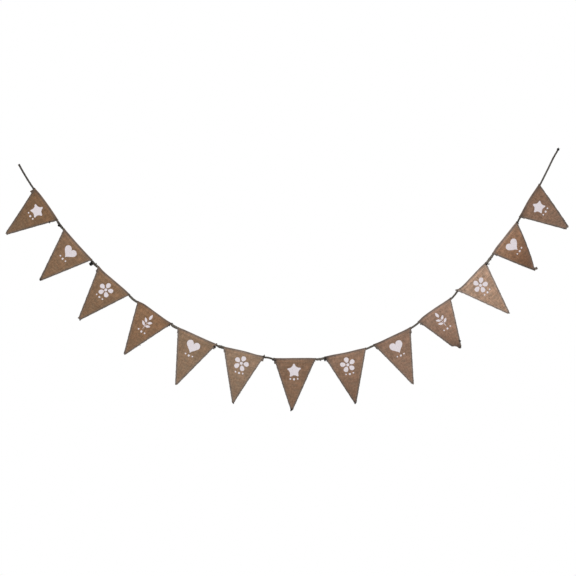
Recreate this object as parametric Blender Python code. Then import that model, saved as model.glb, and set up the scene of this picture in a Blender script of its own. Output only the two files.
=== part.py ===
"""Fabric bunting: thirteen burlap pennants on one cord, as it hangs from its two ends.

Metres, +Z up. The origin is the left end of the cord, +X runs along the garland and
the pennants face -Y. Every pennant is one sheet whose top strip is folded to the back
and sewn down as a casing, and the cord runs through all the casings.
"""

import math

import bmesh
import bpy
from mathutils import Vector

MM = 0.001

# ---------------------------------------------------------------- driving sizes (mm)
CORD_DIAMETER = 6.0  # the twisted twine
CLOTH = 1.2  # thickness of the burlap with its sewn edge
PLAY = 0.8  # free space between the cord and the inside of a casing
CLOSED = 11.0  # the casing's two layers meet this far below the cord
LAYERS = 1.6  # distance between the middles of two sewn layers
KNOT = 10.0  # across the knot at the right end
TOUCH = 0.3  # what touching pieces keep between them

PANEL_ROWS = 8  # faces from the seam to the tip
ARC_ROWS = 5  # faces over the top of the casing

RING = CORD_DIAMETER / 2 + PLAY + CLOTH / 2  # radius of the casing's middle line
CREST = RING + CLOTH / 2  # from the cord's line to the top of the cloth


def table(names, rows):
    """One dictionary a row, with the named columns."""
    names = names.split()
    return [dict(zip(names, row, strict=True)) for row in rows]


# Where each pennant is on the cord, and how it is cut. x and z are the cord's line at
# its left corner, and width and slope (degrees) those of its top edge. drop is the cut
# depth from the fold to where the sides would meet, tip the share of the width at which
# they do, and nib the width of the blunt tip. rise_l, rise_m and rise_r say how far the
# top edge stands above its chord at a sixth, half and five sixths of the width.
CUT = table(
    "x z width slope drop tip nib rise_l rise_m rise_r",
    [
        (52.0, -85.0, 139.5, -53.8, 199.8, 0.466, 10.8, 2.2, 2.9, 1.5),
        (155.5, -226.5, 147.5, -48.2, 194.5, 0.526, 6, -0.7, -1.2, -0.4),
        (276.5, -359.0, 148.5, -42.2, 199.5, 0.489, 9.5, -2.0, -0.8, 0.5),
        (413.5, -481.2, 144.0, -33.4, 189.5, 0.444, 6.2, 3.2, 1.3, -0.7),
        (554.5, -573.0, 150.0, -23.7, 196.5, 0.507, 7, 0.5, -0.2, -0.4),
        (715.0, -641.0, 148.2, -13.1, 192.5, 0.522, 4.4, 0.0, 0.5, -1.6),
        (892.0, -681.5, 148.0, -0.3, 191.5, 0.43, 6.3, -0.8, -0.1, 0.5),
        (1070.0, -677.5, 150.0, 12.4, 190, 0.476, 5.9, 0.5, -1.1, 0.0),
        (1242.0, -634.0, 144.2, 25.2, 193.3, 0.459, 6.9, -1.2, -1.1, -1.2),
        (1399.0, -553.5, 142.0, 36.3, 189.5, 0.40, 6, 3.3, 3.0, 0.5),
        (1535.5, -443.5, 141.5, 44.2, 194.3, 0.515, 6.1, -2.8, -1.4, 0.4),
        (1660.0, -314.5, 142.0, 52.8, 193.4, 0.364, 12.5, 2.1, 1.1, 0.3),
        (1754.5, -185.5, 135.0, 58.9, 191, 0.41, 13.4, 0.8, 2.7, 0.9),
    ],
)

# How each one hangs. swing turns it about the cord, tip to the front (+) or back (-).
# curl bends it further on the way from curl_at (a share of the depth) to the tip, and
# skew starts that later (+) or earlier (-) on the right side. twist brings the right
# side forward (+), and belly pushes the middle to the front (+), in mm.
HANG = table(
    "swing curl curl_at skew twist belly",
    [
        (-12, -6, 0.1, 0.0, 2.0, 2.0),
        (-5, -5, 0.3, 0.0, -2.5, -3.0),
        (-4, -9, 0.5, 0.1, 2.0, 3.0),
        (5, -9, 0.1, 0.0, -2.0, 2.5),
        (7, 4, 0.3, 0.0, 2.0, -3.0),
        (8, -3, 0.2, 0.1, -3.0, 3.0),
        (3, -9, 0.2, 0.0, 1.5, 2.0),
        (6, -14, 0.2, 0.1, 3.0, 3.0),
        (7, -5, 0.3, 0.0, -2.0, -2.5),
        (8, -150, 0.731, 0.208, 3.0, 4.0),
        (11, 3, 0.3, 0.0, 2.0, -2.0),
        (-10, -36, 0.1, -0.1, -4.0, 4.0),
        (-8, -14, 0.2, 0.0, 3.0, -3.0),
    ],
)

# The strip folded to the back: how far it reaches below the cord, and how far its
# left and right corners stand out past the side edges of the front (- for inside).
# bow_l and bow_r push the middle of a side edge outwards.
HEM = table(
    "strip ear_l ear_r bow_l bow_r",
    [
        (17, 8.5, 1.0, -1.5, -0.6),
        (16, 1.0, -1.5, -0.5, 0.4),
        (15, 4.0, -1.5, -0.3, 0.2),
        (16, -1.5, 1.5, 0.3, -0.2),
        (16, 2.0, 5.0, 0.0, 0.0),
        (15, 2.0, 6.5, 0.6, -0.9),
        (16, 5.0, 0.3, 0.2, 0.0),
        (16, 2.0, -1.5, 0.2, 0.1),
        (15, 3.5, 4.5, -0.4, 0.0),
        (16, 2.0, -1.5, -1.5, 0.9),
        (17, 1.2, 1.0, 0.3, 0.3),
        (15, 1.5, -1.5, 0.2, -1.1),
        (16, 2.5, 0.4, 0.0, 0.1),
    ],
)

# The cord between the pennants: how far the middle of each gap is above (+) or below
# (-) the straight line between its neighbours.
GAP_RISE = [-0.8, -1.2, -1.6, -0.6, -0.6, 1.2, -1.2, 0.2, -0.8, -0.8, -0.3, 0.6]

# The two tails, from the cord's end and the last pennant: share of the way, and mm
# above the straight line.
LEFT_TAIL = table("share rise", [(0.33, -1.2), (0.66, -1.4)])
RIGHT_TAIL = table("share rise", [(0.25, 0.0), (0.5, 0.6), (0.75, 1.4)])
RIGHT_END = (1887.5, 52.5)  # x and z of the knot

BURLAP = (0.255, 0.150, 0.086)
TWINE = (0.075, 0.068, 0.048)


# ------------------------------------------------------------------- the cord's line
def flat(x, z):
    return Vector((x, 0.0, z))


class Top:
    """A pennant's top edge: its corner, its chord and the three directions."""

    def __init__(self, cut):
        a = math.radians(cut["slope"])
        self.width = cut["width"]
        self.left = flat(cut["x"], cut["z"])
        self.along = Vector((math.cos(a), 0.0, math.sin(a)))
        self.down = Vector((math.sin(a), 0.0, -math.cos(a)))
        self.right = self.left + self.along * self.width

    def at(self, share, rise=0.0):
        return self.left + self.along * (self.width * share) - self.down * rise


def between(a, b, share, rise):
    """The point at a share of the way from a to b, lifted square to the way."""
    way = b - a
    up = Vector((-way.z, 0.0, way.x)).normalized()
    return a + way * share + up * rise


def route():
    """The cord's own points, and for each pennant the indices of its five."""
    tops = [Top(cut) for cut in CUT]
    points = [flat(0.0, 0.0)]
    points += [between(points[0], tops[0].left, **row) for row in LEFT_TAIL]
    held = []
    for k, (top, cut) in enumerate(zip(tops, CUT, strict=True)):
        if k:
            points.append(between(tops[k - 1].right, top.left, 0.5, GAP_RISE[k - 1]))
        held.append(len(points))
        rises = (0.0, cut["rise_l"], cut["rise_m"], cut["rise_r"], 0.0)
        for share, rise in zip((0.0, 1 / 6, 0.5, 5 / 6, 1.0), rises, strict=True):
            points.append(top.at(share, rise))
    end = flat(*RIGHT_END)
    last = points[-1]
    points += [between(last, end, **row) for row in RIGHT_TAIL]
    way = (end - points[-1]).normalized()
    points.append(end - way * (0.5 * 0.86 * KNOT + TOUCH))
    return tops, points, held


def smooth(points, i, share):
    """A point of the smooth curve through the points, a share of the way from i on."""
    a = points[i - 1] if i else points[0] * 2 - points[1]
    b, c = points[i], points[i + 1]
    d = points[i + 2] if i + 2 < len(points) else c * 2 - b
    t0 = 0.0
    t1 = t0 + (b - a).length ** 0.5
    t2 = t1 + (c - b).length ** 0.5
    t3 = t2 + (d - c).length ** 0.5
    t = t1 + (t2 - t1) * share
    ab = a * ((t1 - t) / (t1 - t0)) + b * ((t - t0) / (t1 - t0))
    bc = b * ((t2 - t) / (t2 - t1)) + c * ((t - t1) / (t2 - t1))
    cd = c * ((t3 - t) / (t3 - t2)) + d * ((t - t2) / (t3 - t2))
    abc = ab * ((t2 - t) / (t2 - t0)) + bc * ((t - t0) / (t2 - t0))
    bcd = bc * ((t3 - t) / (t3 - t1)) + cd * ((t - t1) / (t3 - t1))
    return abc * ((t2 - t) / (t2 - t1)) + bcd * ((t - t1) / (t2 - t1))


def casing_line(points, first):
    """Seven points of the cord's line across a pennant: the middle two of its five
    stretches are twice as long as the others, and are halved."""
    line = [points[first], points[first + 1]]
    line += [smooth(points, first + 1, 0.5), points[first + 2]]
    line += [smooth(points, first + 2, 0.5), points[first + 3], points[first + 4]]
    return line


# ------------------------------------------------------------------------ a pennant
def bent(hang, share, low, high, steps):
    """Length of cloth, depth and forward reach at each row of the panel, by adding up
    short lengths whose slope grows with the curl. The rows are closer together where
    the cloth bends: a turn of 90 degrees counts as much as the whole length."""
    start = hang["curl_at"] + hang["skew"] * (share - 0.5)
    curl = math.radians(hang["curl"])

    def slope(at):
        return curl * min(1.0, max(0.0, (at / high - start) / (1.0 - start)))

    def gone(at):
        return (at - low) / (high - low) + abs(slope(at) - slope(low)) / (math.pi / 2)

    fine = 240
    step = (high - low) / fine
    depth, reach, at = low, LAYERS / 2, low
    rows = [(at, depth, reach)]
    for n in range(fine):
        middle = slope(at + step / 2)
        depth += math.cos(middle) * step
        reach += math.sin(middle) * step
        at += step
        if n == fine - 1 or gone(at) >= gone(high) * len(rows) / steps:
            rows.append((at, depth, reach))
    return rows[:steps] + rows[-1:]


def sheet_points(cut, hang, hem, top, line):
    """Rows of points of the cloth's middle surface, from the lower edge of the strip
    at the back, over the cord, down to the tip."""
    width, drop, tip = top.width, cut["drop"], cut["tip"]
    blunt = drop * (1.0 - cut["nib"] / width) - CREST  # depth of the tip row
    strip = hem["strip"]
    columns = []
    for centre in line:
        share = (centre - top.left).dot(top.along) / width
        lift = -(centre - top.left).dot(top.down)
        turn = math.radians(hang["swing"] + hang["twist"] * (2 * share - 1))
        ahead = Vector((0.0, -1.0, 0.0))
        down = top.down * math.cos(turn) + ahead * math.sin(turn)
        front = ahead * math.cos(turn) - top.down * math.sin(turn)

        def place(at, depth, reach, flare=0.0):
            part = max(0.0, (at + CREST) / drop) if at > 0 else 0.0
            swell = 4 * part * (1 - part)
            left = width * tip * part - hem["bow_l"] * swell - hem["ear_l"] * flare
            right = width * (1 - (1 - tip) * part) + hem["bow_r"] * swell
            right += hem["ear_r"] * flare
            over = left + (right - left) * share - share * width
            # the top edge's own rise fades out towards the tip
            base = centre + top.down * (lift * part)
            return base + top.along * over + down * depth + front * reach

        def belly(at):
            part = (at - CLOSED) / (blunt - CLOSED)
            if part <= 0:
                return 0.0
            return hang["belly"] * 4 * part * (1 - part) * (1 - (2 * share - 1) ** 2)

        panel = [
            (at, depth, reach + belly(at))
            for at, depth, reach in bent(hang, share, CLOSED, blunt, PANEL_ROWS)
        ]

        def flare(at):
            return (at + CREST) / (strip + CREST)

        rows = []
        # the strip, from its edge up to the seam, one layer behind the panel
        for at in (strip, CLOSED * 0.6 + strip * 0.4, CLOSED):
            rows.append(place(at, at, belly(at) - LAYERS / 2, flare(at)))
        # the casing's back, its round top and its front
        half = (RING - LAYERS / 2) * 0.45 + LAYERS / 2
        rows.append(place(CLOSED / 2, CLOSED / 2, -half, flare(CLOSED / 2)))
        for n in range(ARC_ROWS + 1):
            a = math.pi * n / ARC_ROWS
            spread = max(0.0, math.cos(a)) * flare(0.0)
            rows.append(place(0.0, -RING * math.sin(a), -RING * math.cos(a), spread))
        rows.append(place(CLOSED / 2, CLOSED / 2, half))
        rows += [place(*row) for row in panel]
        columns.append(rows)
    return [list(row) for row in zip(*columns, strict=True)]


def finish(name, mesh, colour, roughness):
    material = bpy.data.materials.new(name)
    material.use_nodes = True
    shader = material.node_tree.nodes["Principled BSDF"]
    shader.inputs["Base Color"].default_value = (*colour, 1.0)
    shader.inputs["Roughness"].default_value = roughness
    shader.inputs["Metallic"].default_value = 0.0
    mesh.materials.append(material)


def make_pennant(name, rows):
    bm = bmesh.new()
    grid = [[bm.verts.new(p * MM) for p in row] for row in rows]
    for upper, lower in zip(grid, grid[1:], strict=False):
        for a, b, c, d in zip(upper, upper[1:], lower[1:], lower, strict=False):
            bm.faces.new((a, b, c, d))
    bmesh.ops.triangulate(bm, faces=bm.faces[:], quad_method="SHORT_EDGE")
    mesh = bpy.data.meshes.new(name)
    bm.to_mesh(mesh)
    bm.free()
    mesh.shade_smooth()
    pennant = bpy.data.objects.new(name, mesh)
    bpy.context.scene.collection.objects.link(pennant)
    solid = pennant.modifiers.new("thickness", "SOLIDIFY")
    solid.thickness = CLOTH * MM
    solid.offset = 0.0
    solid.use_even_offset = True
    solid.use_rim = True
    finish(name, mesh, BURLAP, 0.92)
    return pennant


# -------------------------------------------------------------- the cord and its knot
def make_cord(points):
    curve = bpy.data.curves.new("cord", "CURVE")
    curve.dimensions = "3D"
    curve.bevel_depth = CORD_DIAMETER / 2 * MM
    curve.bevel_resolution = 3
    curve.use_fill_caps = True
    line = curve.splines.new("POLY")
    line.points.add(len(points) - 1)
    for place, p in zip(line.points, points, strict=True):
        place.co = (*(p * MM), 1.0)
    cord = bpy.data.objects.new("cord", curve)
    bpy.context.scene.collection.objects.link(cord)
    finish("cord", curve, TWINE, 0.95)


def make_knot(points):
    """A drawn-up overhand knot: a ball with one turn's groove around it."""
    bm = bmesh.new()
    bmesh.ops.create_icosphere(bm, subdivisions=3, radius=KNOT / 2 * MM)
    end = flat(*RIGHT_END)
    way = (end - points[-1]).normalized()
    side = Vector((way.z, 0.0, -way.x))
    for v in bm.verts:
        unit = v.co.normalized()
        turn = math.atan2(unit.y, unit.x)
        groove = 1.0 - 0.10 * math.exp(-(((unit.z - 0.35 * math.sin(turn)) / 0.22) ** 2))
        local = v.co * groove
        v.co = (
            end * MM
            + way * local.z * 0.86
            + side * local.x
            + Vector((0.0, 1.0, 0.0)) * local.y
        )
    bmesh.ops.recalc_face_normals(bm, faces=bm.faces[:])
    mesh = bpy.data.meshes.new("knot_right")
    bm.to_mesh(mesh)
    bm.free()
    mesh.shade_smooth()
    knot = bpy.data.objects.new("knot_right", mesh)
    bpy.context.scene.collection.objects.link(knot)
    finish("knot_right", mesh, TWINE, 0.95)


for old in list(bpy.data.objects):
    bpy.data.objects.remove(old, do_unlink=True)

tops, points, held = route()
for k, (cut, hang, hem) in enumerate(zip(CUT, HANG, HEM, strict=True)):
    rows = sheet_points(cut, hang, hem, tops[k], casing_line(points, held[k]))
    make_pennant(f"pennant_{k + 1:02d}", rows)
make_cord(points)
make_knot(points)
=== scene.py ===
"""Looks of the fabric bunting: woven burlap pennants, their sewn edges and white
figures, and the twisted twine that they hang on."""

import math

import bpy
import numpy as np
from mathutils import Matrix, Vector, geometry


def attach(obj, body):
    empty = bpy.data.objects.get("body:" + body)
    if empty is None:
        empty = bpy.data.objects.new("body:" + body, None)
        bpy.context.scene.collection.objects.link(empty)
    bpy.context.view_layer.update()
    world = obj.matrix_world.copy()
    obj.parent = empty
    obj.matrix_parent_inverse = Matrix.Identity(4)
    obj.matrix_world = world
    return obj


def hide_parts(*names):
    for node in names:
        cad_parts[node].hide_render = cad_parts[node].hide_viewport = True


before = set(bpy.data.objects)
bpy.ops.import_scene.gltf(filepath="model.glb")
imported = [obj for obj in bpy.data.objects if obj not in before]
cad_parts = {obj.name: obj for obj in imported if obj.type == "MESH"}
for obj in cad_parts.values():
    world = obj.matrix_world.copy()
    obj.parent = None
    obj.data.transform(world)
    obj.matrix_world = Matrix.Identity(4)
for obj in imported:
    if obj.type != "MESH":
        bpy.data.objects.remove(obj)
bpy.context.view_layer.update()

MM = 0.001

# ------------------------------------------------------------------------ sizes (mm)
CORD_DIAMETER = 6.0
CLOTH = 1.2
PLAY = 0.8
CLOSED = 11.0
LAYERS = 1.6
KNOT = 10.0
TOUCH = 0.3
RING = CORD_DIAMETER / 2 + PLAY + CLOTH / 2
CREST = RING + CLOTH / 2

PITCH = 2.7  # from one thread of the weave to the next
STEP = PITCH / 2  # the cloth's mesh has a point on each thread and one between
LAY = 12.0  # one turn of the twine's three strands
EDGING = 3.8  # width of the overlocked edge
STITCH = 2.2  # one stitch of the overlock
# where the painted shade along the upper fold, over the cord, lies and how wide it is
FOLD_SHADE_AT, FOLD_SHADE_WIDE = 5.0, 3.2  # the dark line along the upper fold


def table(names, rows):
    """One dictionary a row, with the named columns."""
    names = names.split()
    return [dict(zip(names, row, strict=True)) for row in rows]


# Where each pennant is on the cord and how it is cut, as in the model's own source.
CUT = table(
    "x z width slope drop tip nib rise_l rise_m rise_r",
    [
        (52.0, -85.0, 139.5, -53.8, 199.8, 0.466, 10.8, 2.2, 2.9, 1.5),
        (155.5, -226.5, 147.5, -48.2, 194.5, 0.526, 6, -0.7, -1.2, -0.4),
        (276.5, -359.0, 148.5, -42.2, 199.5, 0.489, 9.5, -2.0, -0.8, 0.5),
        (413.5, -481.2, 144.0, -33.4, 189.5, 0.444, 6.2, 3.2, 1.3, -0.7),
        (554.5, -573.0, 150.0, -23.7, 196.5, 0.507, 7, 0.5, -0.2, -0.4),
        (715.0, -641.0, 148.2, -13.1, 192.5, 0.522, 4.4, 0.0, 0.5, -1.6),
        (892.0, -681.5, 148.0, -0.3, 191.5, 0.43, 6.3, -0.8, -0.1, 0.5),
        (1070.0, -677.5, 150.0, 12.4, 190, 0.476, 5.9, 0.5, -1.1, 0.0),
        (1242.0, -634.0, 144.2, 25.2, 193.3, 0.459, 6.9, -1.2, -1.1, -1.2),
        (1399.0, -553.5, 142.0, 36.3, 189.5, 0.40, 6, 3.3, 3.0, 0.5),
        (1535.5, -443.5, 141.5, 44.2, 194.3, 0.515, 6.1, -2.8, -1.4, 0.4),
        (1660.0, -314.5, 142.0, 52.8, 193.4, 0.364, 12.5, 2.1, 1.1, 0.3),
        (1754.5, -185.5, 135.0, 58.9, 191, 0.41, 13.4, 0.8, 2.7, 0.9),
    ],
)

# How each one hangs, as in the model's own source.
HANG = table(
    "swing curl curl_at skew twist belly",
    [
        (-12, -6, 0.1, 0.0, 2.0, 2.0),
        (-5, -5, 0.3, 0.0, -2.5, -3.0),
        (-4, -9, 0.5, 0.1, 2.0, 3.0),
        (5, -9, 0.1, 0.0, -2.0, 2.5),
        (7, 4, 0.3, 0.0, 2.0, -3.0),
        (8, -3, 0.2, 0.1, -3.0, 3.0),
        (3, -9, 0.2, 0.0, 1.5, 2.0),
        (6, -14, 0.2, 0.1, 3.0, 3.0),
        (7, -5, 0.3, 0.0, -2.0, -2.5),
        (8, -150, 0.731, 0.208, 3.0, 4.0),
        (11, 3, 0.3, 0.0, 2.0, -2.0),
        (-10, -36, 0.1, -0.1, -4.0, 4.0),
        (-8, -14, 0.2, 0.0, 3.0, -3.0),
    ],
)

HEM = table(
    "strip ear_l ear_r bow_l bow_r",
    [
        (17, 8.5, 1.0, -1.5, -0.6),
        (16, 1.0, -1.5, -0.5, 0.4),
        (15, 4.0, -1.5, -0.3, 0.2),
        (16, -1.5, 1.5, 0.3, -0.2),
        (16, 2.0, 5.0, 0.0, 0.0),
        (15, 2.0, 6.5, 0.6, -0.9),
        (16, 5.0, 0.3, 0.2, 0.0),
        (16, 2.0, -1.5, 0.2, 0.1),
        (15, 3.5, 4.5, -0.4, 0.0),
        (16, 2.0, -1.5, -1.5, 0.9),
        (17, 1.2, 1.0, 0.3, 0.3),
        (15, 1.5, -1.5, 0.2, -1.1),
        (16, 2.5, 0.4, 0.0, 0.1),
    ],
)

GAP_RISE = [-0.8, -1.2, -1.6, -0.6, -0.6, 1.2, -1.2, 0.2, -0.8, -0.8, -0.3, 0.6]
LEFT_TAIL = table("share rise", [(0.33, -1.2), (0.66, -1.4)])
RIGHT_TAIL = table("share rise", [(0.25, 0.0), (0.5, 0.6), (0.75, 1.4)])
RIGHT_END = (1887.5, 52.5)

# The figure printed on each pennant, its size and its turn in degrees.
PRINT = table(
    "figure size turn",
    [
        ("star", 54, -4),
        ("heart", 49, 3),
        ("flower", 52, 10),
        ("leaf", 57, -3),
        ("heart", 50, -2),
        ("flower", 53, -14),
        ("star", 55, 2),
        ("flower", 53, 4),
        ("heart", 49, 2),
        ("leaf", 57, 4),
        ("flower", 53, 20),
        ("heart", 48, -3),
        ("star", 52, 5),
    ],
)

# Shade of each cloth, partly its own tone and partly painted light and shade for how it
# hangs in the light: how light it is over the cord (lightened where the casing leans away
# from the lamps), below the seam, half way down and at its tip (darker where a tip curls),
# how much lighter its right side is than its left (painted light), its red and blue against
# its green, how much warmer it is than that over the cord and at its tip, how dark the
# painted shade along its fold is, how light its left and right edges are (with the cloth's
# painted light), and how uneven it is.
TONE_AND_PAINTED_LIGHT = table(
    "casing top half tip side red blue warm_top warm_tip fold edge_l edge_r rough",
    [
        (0.83, 0.75, 0.74, 0.75, 0.02, 1.03, 0.95, 0.08, 0.01, 0.36, 1.00, 1.03, 1.0),
        (1.11, 0.92, 0.89, 0.91, 0.03, 1.04, 0.97, 0.00, 0.01, 0.49, 1.04, 1.08, 1.0),
        (1.15, 0.93, 0.84, 0.83, 0.00, 1.02, 0.98, 0.02, 0.02, 0.50, 1.03, 1.05, 1.0),
        (0.98, 0.94, 0.88, 0.87, 0.00, 1.04, 0.98, 0.07, 0.02, 0.43, 1.10, 1.13, 1.0),
        (1.29, 1.05, 1.07, 1.02, -0.02, 0.96, 1.06, 0.00, 0.00, 0.47, 1.15, 1.13, 1.0),
        (1.43, 1.24, 1.14, 1.03, 0.04, 0.93, 1.12, 0.00, 0.02, 0.48, 1.13, 1.17, 1.0),
        (1.05, 0.85, 0.90, 0.86, 0.00, 1.04, 1.05, 0.00, 0.02, 0.46, 1.05, 1.07, 1.0),
        (1.26, 1.05, 0.91, 0.79, 0.04, 1.02, 1.12, -0.01, 0.05, 0.54, 1.05, 1.10, 1.1),
        (1.18, 1.02, 1.04, 1.01, 0.04, 1.01, 1.15, 0.00, 0.00, 0.54, 1.12, 1.19, 1.1),
        (1.48, 1.23, 1.08, 0.86, 0.12, 1.00, 1.18, -0.01, 0.06, 0.53, 1.00, 1.23, 1.0),
        (2.00, 1.71, 1.60, 1.51, 0.02, 0.96, 1.16, -0.03, 0.02, 0.62, 1.32, 1.29, 1.5),
        (1.46, 1.08, 0.70, 0.53, -0.03, 1.14, 0.98, -0.07, 0.14, 0.49, 0.99, 0.96, 1.2),
        (0.82, 0.90, 0.95, 0.99, -0.06, 1.02, 1.14, 0.05, -0.01, 0.36, 1.05, 1.04, 1.2),
    ],
)

# Painted shade at corners by the cord and where tips bend: the pennant, how far across and
# below its fold, how wide, and how dark.
PAINTED_SHADE_SPOTS = table(
    "on x deep wide dark",
    [
        (1, 135.0, 6.0, 7.0, 0.45),
        (2, 77.0, 187.0, 8.0, 0.30),
        (3, 144.0, 5.0, 5.0, 0.35),
        (3, 70.0, 190.0, 8.0, 0.30),
        (4, 141.0, 6.0, 6.0, 0.40),
        (5, 76.0, 190.0, 6.0, 0.20),
        (6, 144.0, 7.0, 6.0, 0.40),
        (7, 4.0, 6.0, 7.0, 0.45),
        (7, 63.0, 184.0, 7.0, 0.35),
        (8, 5.0, 7.0, 8.0, 0.55),
        (8, 71.0, 184.0, 9.0, 0.40),
        (9, 4.0, 6.0, 6.0, 0.30),
        (10, 62.0, 162.0, 13.0, 0.50),
        (10, 139.0, 6.0, 6.0, 0.40),
        (11, 138.0, 7.0, 6.0, 0.45),
        (12, 52.0, 184.0, 14.0, 0.25),
        (13, 4.0, 6.0, 6.0, 0.45),
    ],
)

# Soft creases: the pennant, the middle's share of the width and depth in mm, the way it
# runs (degrees from straight down, + to the right), length, width and height in mm
# (+ a ridge, - a trough).
CREASES = table(
    "on share depth way long wide high",
    [
        (1, 0.40, 70, 28, 60, 9, -1.1),
        (1, 0.72, 45, -18, 45, 11, 0.9),
        (2, 0.62, 60, 12, 70, 10, 1.0),
        (2, 0.30, 50, 30, 40, 8, -0.8),
        (3, 0.50, 90, 4, 60, 9, -0.9),
        (3, 0.75, 40, -30, 40, 9, 0.8),
        (4, 0.22, 40, 24, 55, 9, 1.4),
        (4, 0.60, 100, -8, 50, 9, -0.9),
        (5, 0.72, 60, -22, 70, 8, -1.0),
        (5, 0.40, 90, 6, 60, 12, 0.8),
        (6, 0.74, 55, -30, 70, 10, 1.5),
        (6, 0.45, 80, -10, 60, 9, -1.0),
        (7, 0.52, 110, 2, 60, 8, -0.8),
        (7, 0.25, 60, 20, 50, 10, 0.8),
        (8, 0.35, 80, 26, 60, 10, -1.2),
        (8, 0.70, 60, -12, 60, 12, 1.0),
        (9, 0.50, 90, 0, 90, 9, -1.1),
        (9, 0.80, 45, -20, 45, 9, 0.9),
        (10, 0.60, 60, -24, 60, 11, 1.4),
        (10, 0.35, 90, 12, 50, 9, -1.0),
        (11, 0.45, 85, 30, 70, 8, -0.9),
        (11, 0.75, 60, 8, 60, 9, 0.8),
        (12, 0.62, 70, 16, 70, 10, -1.3),
        (12, 0.25, 40, 34, 45, 9, 1.0),
        (13, 0.42, 90, 10, 70, 9, -1.0),
        (13, 0.70, 50, -14, 50, 10, 1.0),
    ],
)

# Ends of the overlock's chain of thread: the pennant, which side, how far down the side
# (share of its cut length from the fold, or across the tip), which way it reaches past
# the edge and how thick it is, in mm, and 1 where the thread is painted nearly black as
# shade.
TAILS = table(
    "on side down end_x end_z thick dark",
    [
        (1, "r", 0.02, 2, -3, 2.6, 0),
        (1, "r", 0.17, -1, -3, 3.4, 1),
        (1, "tip", 0.45, -1, -2, 3.2, 0),
        (2, "l", 0.03, -1, -4, 2.6, 0),
        (2, "tip", 0.45, -2, 0, 5.6, 1),
        (3, "l", 0.02, -3, -1, 3.6, 0),
        (3, "l", 0.12, -2, -2, 2.6, 0),
        (3, "tip", 0.10, -1.5, 2.0, 5.0, 0),
        (3, "tip", 0.90, 1, -2, 4.2, 1),
        (4, "r", 0.01, 3, 1, 3.0, 1),
        (4, "r", 0.07, 1, -3, 3.4, 1),
        (4, "r", 0.69, 1, -3, 3.0, 0),
        (4, "tip", 0.50, 0, -2, 3.4, 0),
        (5, "r", 0.00, -1, 3, 3.0, 0),
        (5, "l", 0.02, -3, -1, 3.6, 0),
        (5, "r", 0.075, 3, -3.5, 5.6, 1),
        (5, "tip", 0.50, 0, -2, 3.4, 0),
        (6, "l", 0.02, -3, -1, 3.6, 0),
        (6, "r", 0.00, -1.5, 2.5, 4.2, 0),
        (6, "r", 0.035, 2, -1, 3.6, 1),
        (6, "tip", 0.60, 1, -2, 4.0, 1),
        (7, "l", 0.065, -8, 2.5, 4.2, 1),
        (7, "r", 0.07, 2, -2, 2.4, 0),
        (7, "tip", 0.45, -3, -2.5, 4.8, 1),
        (8, "l", 0.048, 0, -3, 5.0, 1),
        (8, "tip", 0.55, 0, -2.5, 5.0, 1),
        (9, "l", 0.08, -1, -2, 3.0, 0),
        (9, "l", 0.13, -1, -2, 3.0, 0),
        (9, "r", 0.12, 2, -2, 3.0, 0),
        (9, "tip", 0.60, 1, -2, 3.4, 0),
        (10, "l", 0.09, -3, -2, 4.4, 0),
        (10, "r", 0.79, 3, -1, 4.4, 1),
        (11, "l", 0.015, -4, 0, 5.4, 0),
        (11, "r", 0.060, 9, 0.5, 4.8, 1),
        (11, "tip", 0.60, 4, -1, 4.0, 0),
        (12, "l", 0.02, -1.5, -3, 3.6, 0),
        (12, "r", 0.01, 2, -2, 2.6, 0),
        (12, "tip", 0.30, 1, -1, 5.0, 1),
        (12, "tip", 0.35, 7.5, 4, 10.0, 0),
        (13, "l", 0.03, -3, -1, 2.6, 0),
        (13, "tip", 0.15, 3.5, 0.5, 4.2, 0),
        (13, "tip", 0.85, 0, -2, 3.4, 0),
    ],
)

# Knots on the twine: x and z, how far in front of the twine, how far across, the way of
# their hanging ends, and 1 where they are painted nearly black as shade.
LUMPS = table(
    "x z front across end_x end_z dark",
    [
        (140.6, -213.2, 3.5, 10.5, 1, -2, 1),
        (254.2, -346.4, 0.0, 19.0, -2, -3, 1),
        (269.0, -350.5, 2.0, 7.0, 2, 3, 0),
        (1056.0, -684.0, 1.0, 6.5, 0, -1.5, 0),
        (1071.0, -684.6, 6.0, 9.5, 1, -1, 1),
        (1650.0, -332.0, 1.0, 7.5, 1, -1, 0),
        (1744.0, -203.0, 1.0, 10.5, 2, -2, 1),
    ],
)

# Where the twine is doubled: from and to (x, mm), how much thicker the twine itself is
# and lighter in tone it is there, and how thick the second one is and how far it stands
# off.
DOUBLED = table(
    "start end swell pale thick off",
    [
        (133.0, 157.0, 1.30, 1.15, 4.8, 3.0),
        (252.0, 278.0, 1.35, 1.20, 4.8, 3.0),
        (385.0, 415.0, 1.24, 1.75, 3.8, 2.6),
        (532.0, 556.0, 1.48, 2.10, 5.4, 3.2),
        (695.0, 720.0, 1.52, 1.50, 6.4, 3.8),
        (1038.0, 1072.0, 1.27, 1.55, 4.4, 2.6),
        (1635.0, 1662.0, 1.36, 1.50, 5.2, 3.2),
    ],
)

rng = np.random.RandomState(7)


# ------------------------------------------------------------------- the cord's line
def soft(t):
    t = np.clip(t, 0.0, 1.0)
    return t * t * (3 - 2 * t)


def flat(x, z):
    return np.array([x, 0.0, z])


class Top:
    """A pennant's top edge: its corner, its chord and its directions."""

    def __init__(self, cut):
        a = math.radians(cut["slope"])
        self.width = cut["width"]
        self.left = flat(cut["x"], cut["z"])
        self.along = flat(math.cos(a), math.sin(a))
        self.down = flat(math.sin(a), -math.cos(a))
        self.right = self.left + self.along * self.width

    def at(self, share, rise=0.0):
        return self.left + self.along * (self.width * share) - self.down * rise


def between(a, b, share, rise):
    way = b - a
    up = flat(-way[2], way[0]) / np.linalg.norm(way)
    return a + way * share + up * rise


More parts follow.
